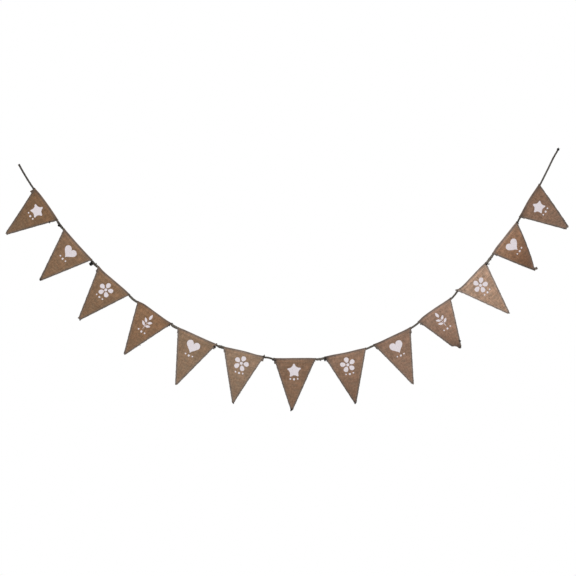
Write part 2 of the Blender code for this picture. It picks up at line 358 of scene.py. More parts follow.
def route():
    """The cord's own points, and for each pennant the index of its first."""
    tops = [Top(cut) for cut in CUT]
    points = [flat(0.0, 0.0)]
    points += [between(points[0], tops[0].left, **row) for row in LEFT_TAIL]
    held = []
    for k, (top, cut) in enumerate(zip(tops, CUT, strict=True)):
        if k:
            points.append(between(tops[k - 1].right, top.left, 0.5, GAP_RISE[k - 1]))
        held.append(len(points))
        rises = (0.0, cut["rise_l"], cut["rise_m"], cut["rise_r"], 0.0)
        for share, rise in zip((0.0, 1 / 6, 0.5, 5 / 6, 1.0), rises, strict=True):
            points.append(top.at(share, rise))
    end = flat(*RIGHT_END)
    last = points[-1]
    points += [between(last, end, **row) for row in RIGHT_TAIL]
    way = end - points[-1]
    way = way / np.linalg.norm(way)
    points.append(end - way * (0.5 * 0.86 * KNOT + TOUCH))
    return tops, np.array(points), held


def smooth(points, i, share):
    """Points of the smooth curve from point i to the next, at these shares."""
    a = points[i - 1] if i else points[0] * 2 - points[1]
    b, c = points[i], points[i + 1]
    d = points[i + 2] if i + 2 < len(points) else c * 2 - b
    t0 = 0.0
    t1 = t0 + np.linalg.norm(b - a) ** 0.5
    t2 = t1 + np.linalg.norm(c - b) ** 0.5
    t3 = t2 + np.linalg.norm(d - c) ** 0.5
    t = (t1 + (t2 - t1) * np.asarray(share, float))[:, None]
    ab = a * ((t1 - t) / (t1 - t0)) + b * ((t - t0) / (t1 - t0))
    bc = b * ((t2 - t) / (t2 - t1)) + c * ((t - t1) / (t2 - t1))
    cd = c * ((t3 - t) / (t3 - t2)) + d * ((t - t2) / (t3 - t2))
    abc = ab * ((t2 - t) / (t2 - t0)) + bc * ((t - t0) / (t2 - t0))
    bcd = bc * ((t3 - t) / (t3 - t1)) + cd * ((t - t1) / (t3 - t1))
    return abc * ((t2 - t) / (t2 - t1)) + bcd * ((t - t1) / (t2 - t1))


def whole_line(points, step):
    """The smooth curve through all the points, with a point every step or so."""
    line = []
    for i in range(len(points) - 1):
        n = max(2, round(np.linalg.norm(points[i + 1] - points[i]) / step))
        line.append(smooth(points, i, np.arange(n) / n))
    return np.concatenate([*line, points[-1:]])


def lengths(line):
    steps = np.linalg.norm(np.diff(line, axis=0), axis=1)
    return np.concatenate([[0.0], np.cumsum(steps)])


def at_length(line, along, places):
    return np.stack([np.interp(places, along, line[:, c]) for c in range(3)], axis=1)


# ---------------------------------------------------------------------- mesh building
def new_object(name, verts, faces, material, maps=(), numbers=(), tidy=True):
    """A smooth mesh in mm. maps are (name, one pair for each face corner) and numbers
    are (name, one for each vertex)."""
    mesh = bpy.data.meshes.new(name)
    mesh.from_pydata((np.asarray(verts) * MM).tolist(), [], faces)
    for label, pairs in maps:
        layer = mesh.uv_layers.new(name=label, do_init=False)
        layer.data.foreach_set("uv", np.asarray(pairs, np.float32).ravel())
    for label, values in numbers:
        attribute = mesh.attributes.new(label, "FLOAT", "POINT")
        attribute.data.foreach_set("value", np.asarray(values, np.float32))
    mesh.materials.append(material)
    mesh.shade_smooth()
    if tidy:
        mesh.update()
    piece = bpy.data.objects.new(name, mesh)
    bpy.context.scene.collection.objects.link(piece)
    return piece


def turned_frame(line):
    """Directions across a line that don't twist along it."""
    way = np.gradient(line, axis=0)
    way /= np.maximum(np.linalg.norm(way, axis=1), 1e-9)[:, None]
    first = np.cross(way[0], (0.0, 1.0, 0.0))
    if np.linalg.norm(first) < 0.1:
        first = np.cross(way[0], (1.0, 0.0, 0.0))
    across = np.empty_like(line)
    across[0] = first / np.linalg.norm(first)
    for i in range(1, len(line)):
        a = across[i - 1] - way[i] * (across[i - 1] @ way[i])
        across[i] = a / max(np.linalg.norm(a), 1e-9)
    return way, across, np.cross(way, across)


class Tubes:
    """Thin round threads, joined in one mesh. Each has a closed end."""

    def __init__(self):
        self.verts, self.faces, self.corners, self.depth = [], [], [], []
        self.shade = []
        self.count = self.segments = 0

    def add(self, line, radius, sides=4, own=0.0, depth=None, shade=1.0):
        """own is a number of the thread's own, for its tone. depth says how far out of
        its rope each ring's corners are."""
        line = np.asarray(line, float)
        n = len(line)
        radius = np.broadcast_to(np.asarray(radius, float), n)
        _, one, two = turned_frame(line)
        turn = np.arange(sides) * (2 * math.pi / sides)
        ring = (
            np.cos(turn)[None, :, None] * one[:, None, :]
            + np.sin(turn)[None, :, None] * two[:, None, :]
        )
        verts = line[:, None, :] + ring * radius[:, None, None]
        base = self.count
        self.verts += [verts.reshape(-1, 3), line[:1], line[-1:]]
        self.count += n * sides + 2
        along = lengths(line)
        shade = np.broadcast_to(np.asarray(shade, float), n)
        self.shade += [np.repeat(shade, sides), shade[:1], shade[-1:]]
        if depth is not None:
            centre, reach = depth
            reach = np.broadcast_to(reach, n)[:, None]
            far = np.linalg.norm(verts - centre[:, None, :], axis=2) / reach
            self.depth += [far.reshape(-1), np.zeros(2)]
        else:
            self.depth += [np.ones(n * sides + 2)]
        for i in range(n - 1):
            for j in range(sides):
                k = (j + 1) % sides
                self.faces.append(
                    (
                        base + i * sides + j,
                        base + i * sides + k,
                        base + (i + 1) * sides + k,
                        base + (i + 1) * sides + j,
                    )
                )
                s = self.segments + i
                self.corners += [
                    (j / sides, along[i], own, s, j, sides),
                    ((j + 1) / sides, along[i], own, s, j + 1, sides),
                    ((j + 1) / sides, along[i + 1], own, s + 1, j + 1, sides),
                    (j / sides, along[i + 1], own, s + 1, j, sides),
                ]
        for centre, i, way in ((base + n * sides, 0, 1), (base + n * sides + 1, n - 1, -1)):
            for j in range(sides):
                k = (j + 1) % sides
                a, b = base + i * sides + j, base + i * sides + k
                s = self.segments + i
                trio = [
                    (centre, (0.5, along[i], own, s - way * 0.5, j + 0.5, sides)),
                    (b, ((j + 1) / sides, along[i], own, s, j + 1, sides)),
                    (a, (j / sides, along[i], own, s, j, sides)),
                ]
                if way < 0:
                    trio.reverse()
                self.faces.append(tuple(v for v, _ in trio))
                self.corners += [c for _, c in trio]
        self.segments += n

    def build(self, name, material):
        across, along, own, segment, side, sides = np.array(self.corners).T
        # the bake's map: rows of segments, each with a band for every side. A face's
        # corners go by its first segment, so that it stays in one row.
        rows = max(1, round(math.sqrt(self.segments / sides.max())))
        per_row = math.ceil(self.segments / rows)
        sizes = [len(f) for f in self.faces]
        lowest = np.minimum.reduceat(segment, np.cumsum([0, *sizes[:-1]]))
        row = np.maximum(np.floor(np.repeat(lowest, sizes) / per_row), 0.0)
        u = (segment - row * per_row + 0.75) / (per_row + 1.5)
        v = (row + 0.06 + 0.88 * side / sides) / rows
        return new_object(
            name,
            np.concatenate(self.verts),
            self.faces,
            material,
            maps=[
                ("OFBake", np.stack([u, v], 1)),
                ("thread", np.stack([across + own * 17.0, along], 1)),
            ],
            numbers=[
                ("rise", np.concatenate(self.depth)),
                ("shade", np.concatenate(self.shade)),
            ],
        )


# -------------------------------------------------------------------------- materials
class Value:
    """A number in a node tree, written as a formula."""

    def __init__(self, tree, source):
        self.tree, self.source = tree, source

    def maths(self, operation, *others):
        node = self.tree.nodes.new("ShaderNodeMath")
        node.operation = operation
        for socket, x in zip(node.inputs, (self, *others), strict=False):
            if isinstance(x, Value):
                self.tree.links.new(x.source, socket)
            else:
                socket.default_value = x
        return Value(self.tree, node.outputs[0])

    def __add__(self, x):
        return self.maths("ADD", x)

    def __radd__(self, x):
        return self.maths("ADD", x)

    def __sub__(self, x):
        return self.maths("SUBTRACT", x)

    def __rsub__(self, x):
        return self.maths("MULTIPLY", -1.0).maths("ADD", x)

    def __mul__(self, x):
        return self.maths("MULTIPLY", x)

    def __rmul__(self, x):
        return self.maths("MULTIPLY", x)

    def over(self, x):
        return self.maths("GREATER_THAN", x)

    def most(self, x):
        return self.maths("MAXIMUM", x)

    def least(self, x):
        return self.maths("MINIMUM", x)

    def floor(self):
        return self.maths("FLOOR")

    def cos(self):
        return self.maths("COSINE")

    def sqrt(self):
        return self.maths("SQRT")

    def fract(self):
        return self.maths("FRACT")

    def power(self, x):
        return self.most(0.0).maths("POWER", x)

    def ramp(self, low, high):
        """0 below low, 1 above high, and smooth between."""
        node = self.tree.nodes.new("ShaderNodeMapRange")
        node.interpolation_type = "SMOOTHSTEP"
        self.tree.links.new(self.source, node.inputs["Value"])
        node.inputs["From Min"].default_value = low
        node.inputs["From Max"].default_value = high
        return Value(self.tree, node.outputs["Result"])


def mixed(share, a, b):
    return a + (b - a) * share


def start_material(name, roughness, specular):
    material = bpy.data.materials.new(name)
    material.use_nodes = True
    tree = material.node_tree
    shader = tree.nodes["Principled BSDF"]
    shader.inputs["Roughness"].default_value = roughness
    shader.inputs["Specular IOR Level"].default_value = specular
    return material, tree, shader


def map_values(tree, name):
    node = tree.nodes.new("ShaderNodeUVMap")
    node.uv_map = name
    apart = tree.nodes.new("ShaderNodeSeparateXYZ")
    tree.links.new(node.outputs["UV"], apart.inputs[0])
    return Value(tree, apart.outputs[0]), Value(tree, apart.outputs[1])


def number(tree, name):
    node = tree.nodes.new("ShaderNodeAttribute")
    node.attribute_name = name
    return Value(tree, node.outputs["Fac"])


def noise(tree, x, y, scale=1.0, detail=2.0):
    join = tree.nodes.new("ShaderNodeCombineXYZ")
    for socket, v in zip(join.inputs, (x, y), strict=False):
        if isinstance(v, Value):
            tree.links.new(v.source, socket)
        else:
            socket.default_value = v
    node = tree.nodes.new("ShaderNodeTexNoise")
    node.noise_dimensions = "2D"
    node.inputs["Scale"].default_value = scale
    node.inputs["Detail"].default_value = detail
    tree.links.new(join.outputs[0], node.inputs["Vector"])
    return Value(tree, node.outputs[0])


def colour_of(tree, share, low, high):
    """The colour between two, at this share."""
    node = tree.nodes.new("ShaderNodeMix")
    node.data_type = "RGBA"
    tree.links.new(share.source, node.inputs["Factor"])
    for label, colour in (("A", low), ("B", high)):
        socket = next(s for s in node.inputs if s.name == label and s.type == "RGBA")
        if isinstance(colour, tuple):
            socket.default_value = (*colour, 1.0)
        else:
            tree.links.new(colour, socket)
    return next(s for s in node.outputs if s.type == "RGBA")


def times(tree, colour, factor):
    """The colour, made lighter or darker by a number."""
    node = tree.nodes.new("ShaderNodeVectorMath")
    node.operation = "SCALE"
    tree.links.new(colour, node.inputs[0])
    tree.links.new(factor.source, node.inputs["Scale"])
    return node.outputs[0]


def warmer(tree, colour, by):
    """The colour with more red and less blue."""
    join = tree.nodes.new("ShaderNodeCombineXYZ")
    tree.links.new((by + 1.0).source, join.inputs[0])
    join.inputs[1].default_value = 1.0
    tree.links.new((1.0 - by).source, join.inputs[2])
    node = tree.nodes.new("ShaderNodeVectorMath")
    node.operation = "MULTIPLY"
    tree.links.new(colour, node.inputs[0])
    tree.links.new(join.outputs[0], node.inputs[1])
    return node.outputs[0]


def set_bump(tree, shader, height, distance, strength):
    node = tree.nodes.new("ShaderNodeBump")
    node.inputs["Distance"].default_value = distance
    node.inputs["Strength"].default_value = strength
    tree.links.new(height.source, node.inputs["Height"])
    tree.links.new(node.outputs["Normal"], shader.inputs["Normal"])


def weave(tree):
    """A plain weave over the map named weave, where whole numbers are the threads: its
    height, a tone for each thread and its fibres, and the map's own two values."""
    u, v = map_values(tree, "weave")
    warp, weft = (u + 0.5).floor(), (v + 0.5).floor()
    du, dv = u - warp, v - weft
    odd = ((warp + weft) * 0.5).fract() * 2.0
    sign = 1.0 - odd * 2.0
    round_u = (1.0 - (du * 2.15) * (du * 2.15)).most(0.0).sqrt()
    round_v = (1.0 - (dv * 2.15) * (dv * 2.15)).most(0.0).sqrt()
    warp_up = round_u * 0.62 + sign * (dv * math.pi).cos() * 0.38 * round_u.over(0.01)
    weft_up = round_v * 0.62 - sign * (du * math.pi).cos() * 0.38 * round_v.over(0.01)
    height = warp_up.most(weft_up).most(0.0)
    on_warp = warp_up.over(weft_up)
    tone_u = noise(tree, warp * 5.37, v * 0.07, 1.0, 2.0)
    tone_v = noise(tree, u * 0.07, weft * 5.37 + 40.0, 1.0, 2.0)
    tone = mixed(on_warp, tone_v, tone_u)
    fibre_u = noise(tree, u * 9.0, v * 1.3 + u * 2.0, 1.0, 3.0)
    fibre_v = noise(tree, u * 1.3 + v * 2.0, v * 9.0, 1.0, 3.0)
    fibre = mixed(on_warp, fibre_v, fibre_u)
    return height, tone, fibre, u, v


BURLAP_LIGHT = (0.236, 0.142, 0.084)
BURLAP_DARK = (0.168, 0.094, 0.052)
BURLAP_GREEN = (0.190, 0.130, 0.080)
EDGE_TINT = (0.176, 0.144, 0.127)


def make_burlap(name, red, blue, rough):
    material, tree, shader = start_material(name, 0.93, 0.2)
    height, tone, fibre, u, v = weave(tree)

    def tint(colour):
        return (colour[0] * red, colour[1], colour[2] * blue)

    patches = noise(tree, u * 0.11, v * 0.11, 1.0, 4.0)
    blots = noise(tree, u * 0.34 + 7.0, v * 0.34, 1.0, 3.0)
    streaks = noise(tree, u * 0.45, v * 0.06 + 9.0, 1.0, 2.0)
    strokes = noise(tree, u * 0.06 + 5.0, v * 0.45, 1.0, 2.0)
    hue = (patches * 0.8 + blots * 0.9 - 0.35).ramp(0.0, 1.0)
    colour = colour_of(tree, hue, tint(BURLAP_GREEN), tint(BURLAP_LIGHT))
    colour = colour_of(tree, (1.0 - tone).ramp(0.35, 0.8), colour, tint(BURLAP_DARK))
    # the overlock's tint near the edges, and painted shade along the fold
    edge = number(tree, "edge").ramp(1.2, 8.5)
    colour = colour_of(tree, edge * 0.8 + 0.2, EDGE_TINT, colour)
    # painted shade in the pits between the threads, times the cloth's own streaks and
    # patches and the tone number, which carries painted light and shade
    light = (
        (0.42 + height.power(0.7) * 0.72)
        * (0.86 + fibre * 0.28)
        * (0.84 + streaks * 0.16 + strokes * 0.16)
        * (1.0 + (patches * 0.49 + blots * 0.59 - 0.54) * rough)
        * number(tree, "tone")
    )
    colour = warmer(tree, times(tree, colour, light), number(tree, "warm"))
    tree.links.new(colour, shader.inputs["Base Color"])
    tree.links.new((0.97 - fibre * 0.12).source, shader.inputs["Roughness"])
    shader.inputs["Sheen Weight"].default_value = 0.12
    shader.inputs["Sheen Roughness"].default_value = 0.5
    set_bump(tree, shader, height + fibre * 0.35, 0.0005, 0.8)
    return material


def make_print(name):
    """White paint on the raised threads, thinner in the pits of the weave."""
    material, tree, shader = start_material(name, 0.75, 0.3)
    height, tone, fibre, u, v = weave(tree)
    wear = noise(tree, u * 0.6, v * 0.6 + 3.0, 1.0, 3.0)
    share = (height * 1.2 + wear * 0.5 + fibre * 0.2 - 0.25).ramp(0.0, 0.55)
    colour = colour_of(tree, share, (0.30, 0.235, 0.20), (0.60, 0.552, 0.578))
    light = (0.94 + fibre * 0.10) * (0.95 + tone * 0.08)
    tree.links.new(times(tree, colour, light), shader.inputs["Base Color"])
    tree.links.new((0.86 - share * 0.16).source, shader.inputs["Roughness"])
    set_bump(tree, shader, height + fibre * 0.2, 0.0004, 0.6)
    return material


def make_thread(name, low, high, ply, groove_shade, distance):
    """Twisted thread: low and high are its colours, ply the turns of its yarns for each
    mm, and groove how much painted shade darkens it between the strands of a rope."""
    material, tree, shader = start_material(name, 0.9, 0.25)
    across, along = map_values(tree, "thread")
    turns = ((across + along * ply) * (2 * math.pi) * 2.0).cos() * 0.5 + 0.5
    fibre = noise(tree, across * 7.0 + along * (ply * 7.0), along * 0.9, 1.0, 3.0)
    patches = noise(tree, along * 0.11, across.floor() * 3.1, 1.0, 3.0)
    share = (turns * 0.45 + fibre * 0.6 + patches * 0.35 - 0.3).ramp(0.0, 0.9)
    colour = colour_of(tree, share, low, high)
    rise = number(tree, "rise").ramp(0.30, 0.95)
    # painted shade between the strands of a rope, where rise is low
    light = (rise * groove_shade + (1.0 - groove_shade)) * (0.8 + patches * 0.4)
    light = light * number(tree, "shade")
    tree.links.new(times(tree, colour, light), shader.inputs["Base Color"])
    tree.links.new((0.98 - fibre * 0.14).source, shader.inputs["Roughness"])
    set_bump(tree, shader, turns * 0.6 + fibre * 0.5, distance, 0.8)
    return material


def make_floor(name):
    material, tree, shader = start_material(name, 0.8, 0.2)
    place = tree.nodes.new("ShaderNodeTexCoord")
    node = tree.nodes.new("ShaderNodeTexNoise")
    node.inputs["Scale"].default_value = 3.0
    tree.links.new(place.outputs["Object"], node.inputs["Vector"])
    share = Value(tree, node.outputs[0])
    colour = colour_of(tree, share, (0.70, 0.70, 0.69), (0.74, 0.74, 0.73))
    tree.links.new(colour, shader.inputs["Base Color"])
    return material


# ---------------------------------------------------------------- camera, then cords
def make_camera():
    data = bpy.data.cameras.new("camera")
    data.sensor_width = 36.0
    data.lens = 142.86
    camera = bpy.data.objects.new("camera", data)
    camera.location = (0.9419, -8.0, -0.4323)
    camera.rotation_euler = (math.radians(90.0), 0.0, 0.0)
    bpy.context.scene.collection.objects.link(camera)
    bpy.context.scene.camera = camera


def wobble(places, seed, scale):
    """A smooth wandering number between -1 and 1 along these places."""
    a = seed * 1.913
    return (
        np.sin(places / scale + a)
        + 0.6 * np.sin(places / (scale * 0.43) + 2.3 * a)
        + 0.4 * np.sin(places / (scale * 0.19) + 3.7 * a)
    ) / 2.0


def rope(tubes, line, along, radius, lay, sides, seed, fray=(0.0, 0.0), shade=1.0):
    """Three strands laid round a line. fray opens the strands at its two ends, and
    shade makes them lighter (above 1) or darker."""
    _, one, two = turned_frame(line)
    strand = radius / 2.0
    helix = radius - strand
    total = along[-1]
    open_up = 1 + fray[0] * np.exp(-along / 3.0) + fray[1] * np.exp(
        -(total - along) / 3.0
    )
    for k in range(3):
        turn = 2 * math.pi * (along / lay + k / 3) + 0.35 * wobble(along, seed + k, 22)
        off = helix * open_up * (1 + 0.05 * wobble(along, seed + 3 + k, 9))
        middle = line + (
            np.cos(turn)[:, None] * one + np.sin(turn)[:, None] * two
        ) * off[:, None]
        thick = strand * (1 + 0.09 * wobble(along, seed + 7 + k, 6.5))
        tubes.add(
            middle,
            thick,
            sides,
            own=(seed + k) % 11,
            depth=(line, radius * 1.05),
            shade=shade * (1 + 0.10 * wobble(along, seed + 11, 31)),
        )


def make_cord(points, tops, twine, shaded_twine, light_twine):
    """The twine, with finer strands where it shows, and what is on it."""
    line = whole_line(points, 1.5)
    along = lengths(line)
    shown = np.ones(len(line), bool)
    for top in tops:
        share = (line - top.left) @ top.along / top.width
        near = np.abs((line - top.left) @ top.down) < 12
        shown &= ~((share > 0.03) & (share < 0.97) & near)
    density = np.where(shown, 14.0, 5.0) / LAY
    places = np.concatenate([[0.0], np.cumsum(np.diff(along) * density[1:])])
    count = int(places[-1])
    stations = np.interp(np.linspace(0, places[-1], count), places, along)
    fine = at_length(line, along, stations)
    tubes = Tubes()
    bare = np.interp(stations, along, shown.astype(float))
    radius = CORD_DIAMETER / 2 * (1.06 + 0.17 * soft(bare))
    radius *= 1 + 0.06 * soft((fine[:, 0] - 1180) / 60) * soft((1500 - fine[:, 0]) / 60)
    # lighter in its right half, and a little finer towards that end
    shade = 1.14 + 0.25 * soft((fine[:, 0] - 820) / 60)
    shade += 0.52 * soft((fine[:, 0] - 1180) / 60)
    shade -= 0.38 * soft((fine[:, 0] - 1690) / 60)
    radius = radius * (1 - 0.07 * soft((fine[:, 0] - 1800) / 40))
    for row in DOUBLED:
        near = soft((fine[:, 0] - row["start"]) / 6) * soft((row["end"] - fine[:, 0]) / 6)
        radius *= 1 + (row["swell"] - 1) * near
        shade *= 1 + (row["pale"] - 1) * near
    rope(tubes, fine, stations, radius, LAY, 8, 1, fray=(0.5, 0.0), shade=shade)
    cord = tubes.build("twine", twine)

    knot = Tubes()
    way = line[-1] - line[-6]
    way /= np.linalg.norm(way)
    side = np.array([way[2], 0.0, -way[0]])
    tie(knot, flat(*RIGHT_END), way, side, KNOT * 1.12, 3)
    for k in range(7):  # the cut ends of its yarns
        a = rng.uniform(-0.7, 0.7, 2)
        end = way + side * a[0] + np.array([0, 1.0, 0]) * a[1]
        start = flat(*RIGHT_END) + end * 2.5
        reach = rng.uniform(2.5, 5.0)
        bend = side * rng.uniform(-1, 1)
        half = start + end * reach * 0.5 + bend * 0.4
        knot.add([start, half, start + end * reach + bend], [0.5, 0.42, 0.2], 4, own=k)
    # the right knot is painted nearly black as shade
    knot_right = knot.build("twine_knot_right", shaded_twine)

    lumps, second = Tubes(), Tubes()
    for k, row in enumerate(LUMPS):
        place = np.array([row["x"], -row["front"], row["z"]])
        end = flat(row["end_x"], row["end_z"])
        i = int(np.argmin(np.linalg.norm(line - place, axis=1)))
        way = line[min(i + 2, len(line) - 1)] - line[i - 2]
        way /= np.linalg.norm(way)
        side = np.array([way[2], 0.0, -way[0]])
        # knots painted nearly black as shade, or plain twine
        kind = lumps if row["dark"] else second
        tie(kind, place, way, side, row["across"], 20 + k)
        for n in range(2):  # its two ends, short pieces of the same twine
            sway = rng.uniform(-0.6, 0.6, 3) + side * (2.0 * n - 1.0)
            t = np.linspace(0.0, 1.0, 9)[:, None]
            tail = place + end * (0.3 + 1.3 * t) + sway * t * t
            tail += np.array([0.0, -1.0, 0.0]) * np.sin(math.pi * t)
            rope(kind, tail, lengths(tail), row["across"] * 0.17, 5.0, 5, 60 + k, (0, 1))
    ties = lumps.build("twine_ties", shaded_twine)

    for k, row in enumerate(DOUBLED):
        part = line[(line[:, 0] > row["start"]) & (line[:, 0] < row["end"])]
        along_part = lengths(part)
        _, one, two = turned_frame(part)
        share = along_part / along_part[-1]
        turn = 2 * math.pi * along_part / 26.0 + 2.4 * k
        out = row["off"] * soft(share * 6) * soft((1 - share) * 6)
        beside = part + (
            np.cos(turn)[:, None] * one + np.sin(turn)[:, None] * two
        ) * out[:, None]
        pale = row["pale"]
        rope(second, beside, along_part, row["thick"] / 2, 10.0, 6, 40 + k, shade=pale)
    doubled = second.build("twine_second", light_twine)

    hairs = Tubes()
    visible = np.flatnonzero(shown)
    for n in range(430):
        i = int(rng.choice(visible[3:-3]))
        way = line[i + 1] - line[i - 1]
        way /= np.linalg.norm(way)
        a = rng.uniform(0, 2 * math.pi)
        side = np.array([way[2], 0.0, -way[0]])
        out = side * math.cos(a) + np.array([0.0, 1.0, 0.0]) * math.sin(a)
        reach = rng.uniform(0.8, 3.0)
        lean = way * rng.uniform(1.0, 6.0) * rng.choice([-1, 1])
        sway = rng.uniform(-0.7, 0.7, 3)
        start = line[i] + out * 2.5
        t = np.array([0.0, 0.3, 0.62, 1.0])[:, None]
        hair = start + out * reach * (1.7 * t - 0.8 * t * t) + lean * t * t
        hair += sway * np.sin(t * math.pi)
        hairs.add(hair, [0.12, 0.11, 0.08, 0.03], 3, own=n % 13)
    fibres = hairs.build("twine_fibres", twine)

    for piece in (cord, knot_right, ties, doubled, fibres):
        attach(piece, "root")
    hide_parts("cord")
    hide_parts("knot_right")


def tie(tubes, place, way, side, across, seed):
    """A drawn-up overhand knot: three strands on a tight trefoil."""
    t = np.linspace(0, 2 * math.pi, 64)
    deep = np.array([0.0, 1.0, 0.0])
    x, y, z = (
        np.sin(t) + 2 * np.sin(2 * t),
        np.cos(t) - 2 * np.cos(2 * t),
        -1.15 * np.sin(3 * t),
    )
    size = across * 0.094
    line = place + (x[:, None] * side + z[:, None] * way * 1.3 + y[:, None] * deep) * size
    rope(tubes, line, lengths(line), across * 0.225, across * 0.8, 5, seed)


# -------------------------------------------------------------------------- the cloth
class Cloth:
    """One pennant as a sheet. x is across it and q down its length, in mm, from the
    lower edge of the strip at the back, over the cord and down to the tip."""

    def __init__(self, k, top, points, first):
        self.k, self.top = k, top
        self.cut, self.hang, self.hem = CUT[k], HANG[k], HEM[k]
        self.creases = [c for c in CREASES if c["on"] == k + 1]
        self.drop = self.cut["drop"]
        self.blunt = self.drop * (1 - self.cut["nib"] / top.width) - CREST
        self.seed = 1.0 + k * 1.37
        self.fold()
        share = np.arange(17) / 16
        line = np.concatenate([smooth(points, first + i, share) for i in range(4)])
        self.lift_share = (line - top.left) @ top.along / top.width
        self.lift_high = -((line - top.left) @ top.down)

    def fold(self):
        """The way of the cloth round the cord, as seen from its end."""
        strip = self.hem["strip"]
        rows = []
        for at in np.arange(strip, CLOSED, -0.1):
            rows.append((at, at, -LAYERS / 2, (at + CREST) / (strip + CREST)))
        back = len(rows)
        spring = RING - LAYERS / 2
        for at in np.arange(CLOSED, 0.05, -0.1):
            reach = LAYERS / 2 + spring * soft(1 - at / CLOSED)
            rows.append((at, at, -reach, (at + CREST) / (strip + CREST)))
        for a in np.linspace(0, math.pi, 90):
            flare = max(0.0, math.cos(a)) * CREST / (strip + CREST)
            rows.append((0.0, -RING * math.sin(a), -RING * math.cos(a), flare))
        crest = len(rows) - 45
        for at in np.arange(0.1, CLOSED + 0.05, 0.1):
            reach = LAYERS / 2 + spring * soft(1 - at / CLOSED)
            rows.append((at, at, reach, 0.0))
        rows = np.array(rows)
        steps = np.hypot(np.diff(rows[:, 1]), np.diff(rows[:, 2]))
        self.fold_q = np.concatenate([[0.0], np.cumsum(steps)])
        self.fold_rows = rows
        self.q_back, self.q_crest = self.fold_q[back], self.fold_q[crest]
        self.q_front = self.fold_q[-1]
        self.q_end = self.q_front + self.blunt - CLOSED

    def profile(self, q):
        at, depth, reach, flare = (
            np.interp(q, self.fold_q, self.fold_rows[:, c]) for c in range(4)
        )
        below = np.maximum(q - self.q_front, 0.0)
        return at + below, depth, reach, flare, below

    def sides(self, at, flare):
        """Where the cloth's left and right edges are, and the share of the cut depth."""
        part = np.where(
            at < CLOSED / 2,
            at / (CLOSED / 2) * (CLOSED / 2 + CREST) / self.drop,
            (at + CREST) / self.drop,
        )
        swell = 4 * part * (1 - part)
        width, tip, hem = self.top.width, self.cut["tip"], self.hem
        left = width * tip * part - hem["bow_l"] * swell - hem["ear_l"] * flare
        right = width * (1 - (1 - tip) * part) + hem["bow_r"] * swell
        return left, right + hem["ear_r"] * flare, part

    def waves(self, x, at, left, right):
        """How far the cloth stands to the front: its creases and its wavy edges."""
        s = self.seed
        edge = np.maximum(np.minimum(x - left, right - x), 0.0)
        near = np.where(x - left < right - x, s, s + 2.1)
        out = 0.85 * np.exp(-edge / 8.0) * np.sin(at / 4.9 + near * 3.1)
        out = out + 0.8 * np.sin(x / 21.0 + s) * np.sin(at / 33.0 + 1.3 * s)
        out = out + 0.35 * np.sin(x / 9.0 + at / 15.0 + 2.7 * s)
        for c in self.creases:
            a = math.radians(c["way"])
            dx, dy = x - c["share"] * self.top.width, at - c["depth"]
            run = dx * math.sin(a) + dy * math.cos(a)
            off = dx * math.cos(a) - dy * math.sin(a) + 4.0 * np.sin(run / 26.0)
            out = out + c["high"] * np.exp(
                -((off / c["wide"]) ** 2) - (run / c["long"]) ** 2
            )
        return out * soft((at - 3.0) / 22.0)

    def painted_shade(self, x, q):
        """How much the painted shade spots darken the cloth and its thread."""
        light = np.ones(np.shape(x))
        for s in PAINTED_SHADE_SPOTS:
            if s["on"] == self.k + 1:
                far = np.hypot(x - s["x"], q - self.q_crest - s["deep"]) / s["wide"]
                light = light * (1 - s["dark"] * np.exp(-(far**2)))
        return light

    def flat_share(self, lean):
        """How much of the waves is left where the cloth bends far back."""
        return 1 - 0.75 * soft(np.abs(lean) / 1.2)

    def middle(self, x, q):
        """The cloth's middle surface, in mm in the world."""
        q0, x0 = q, x
        s = self.seed
        x = x0 + 0.20 * np.sin(1.63 * x0 + 1.5 * np.sin(q0 * 0.05 + s)) + 0.22 * np.sin(
            0.57 * x0 + 0.021 * q0 + s
        )
        q = q0 + 0.20 * np.sin(1.51 * q0 + 1.5 * np.sin(x0 * 0.045 + s)) + 0.22 * np.sin(
            0.49 * q0 - 0.017 * x0 + s
        )
        q = np.clip(q, 0.0, None)
        at, depth, reach, flare, below = self.profile(q)
        left, right, part = self.sides(at, flare)
        share = (x - left) / np.maximum(right - left, 1.0)
        hang, top = self.hang, self.top
        # the bend of the panel, whose slope grows steadily from where it begins
        curl = math.radians(hang["curl"])
        start = (hang["curl_at"] + hang["skew"] * (share - 0.5)) * self.blunt
        reach_to = self.blunt - start
        begin = np.maximum(start, CLOSED)
        slope = curl * np.clip((at - start) / reach_to, 0.0, 1.3)
        first = curl * np.clip((begin - start) / reach_to, 0.0, 1.3)
        past = (below > 0) & (at > begin)
        bend = reach_to / curl
        depth = np.where(below > 0, at, depth)
        depth = np.where(past, begin + bend * (np.sin(slope) - np.sin(first)), depth)
        reach = np.where(past, LAYERS / 2 - bend * (np.cos(slope) - np.cos(first)), reach)
        tall = np.clip((at - CLOSED) / (self.blunt - CLOSED), 0.0, 1.0)
        belly = hang["belly"] * 4 * tall * (1 - tall) * (1 - (2 * share - 1) ** 2)
        waves = self.waves(x, at, left, right)
        turn = np.radians(hang["swing"] + hang["twist"] * (2 * share - 1))
        ahead = np.array([0.0, -1.0, 0.0])
        cos, sin = np.cos(turn)[..., None], np.sin(turn)[..., None]
        down = top.down * cos + ahead * sin
        front = ahead * cos - top.down * sin
        lift = np.interp(share, self.lift_share, self.lift_high)
        # past the bend the waves stand off the curled cloth
        lean = np.where(past, slope, 0.0)[..., None]
        waves = waves * self.flat_share(lean[..., 0])
        square = front * np.cos(lean) - down * np.sin(lean)
        return (
            top.left
            + top.along * x[..., None]
            - top.down * (lift * (1 - part))[..., None]
            + down * depth[..., None]
            + front * (reach + belly)[..., None]
            + square * waves[..., None]
        )

    def normal(self, x, q):
        e = 0.35
        low, high = np.clip(q - e, 0.05, None), np.clip(q + e, 0.75, self.q_end)
        low = np.minimum(low, high - 0.4)
        across = self.middle(x + e, q) - self.middle(x - e, q)
        down = self.middle(x, high) - self.middle(x, low)
        n = np.cross(down, across)
        return n / np.maximum(np.linalg.norm(n, axis=-1), 1e-9)[..., None]

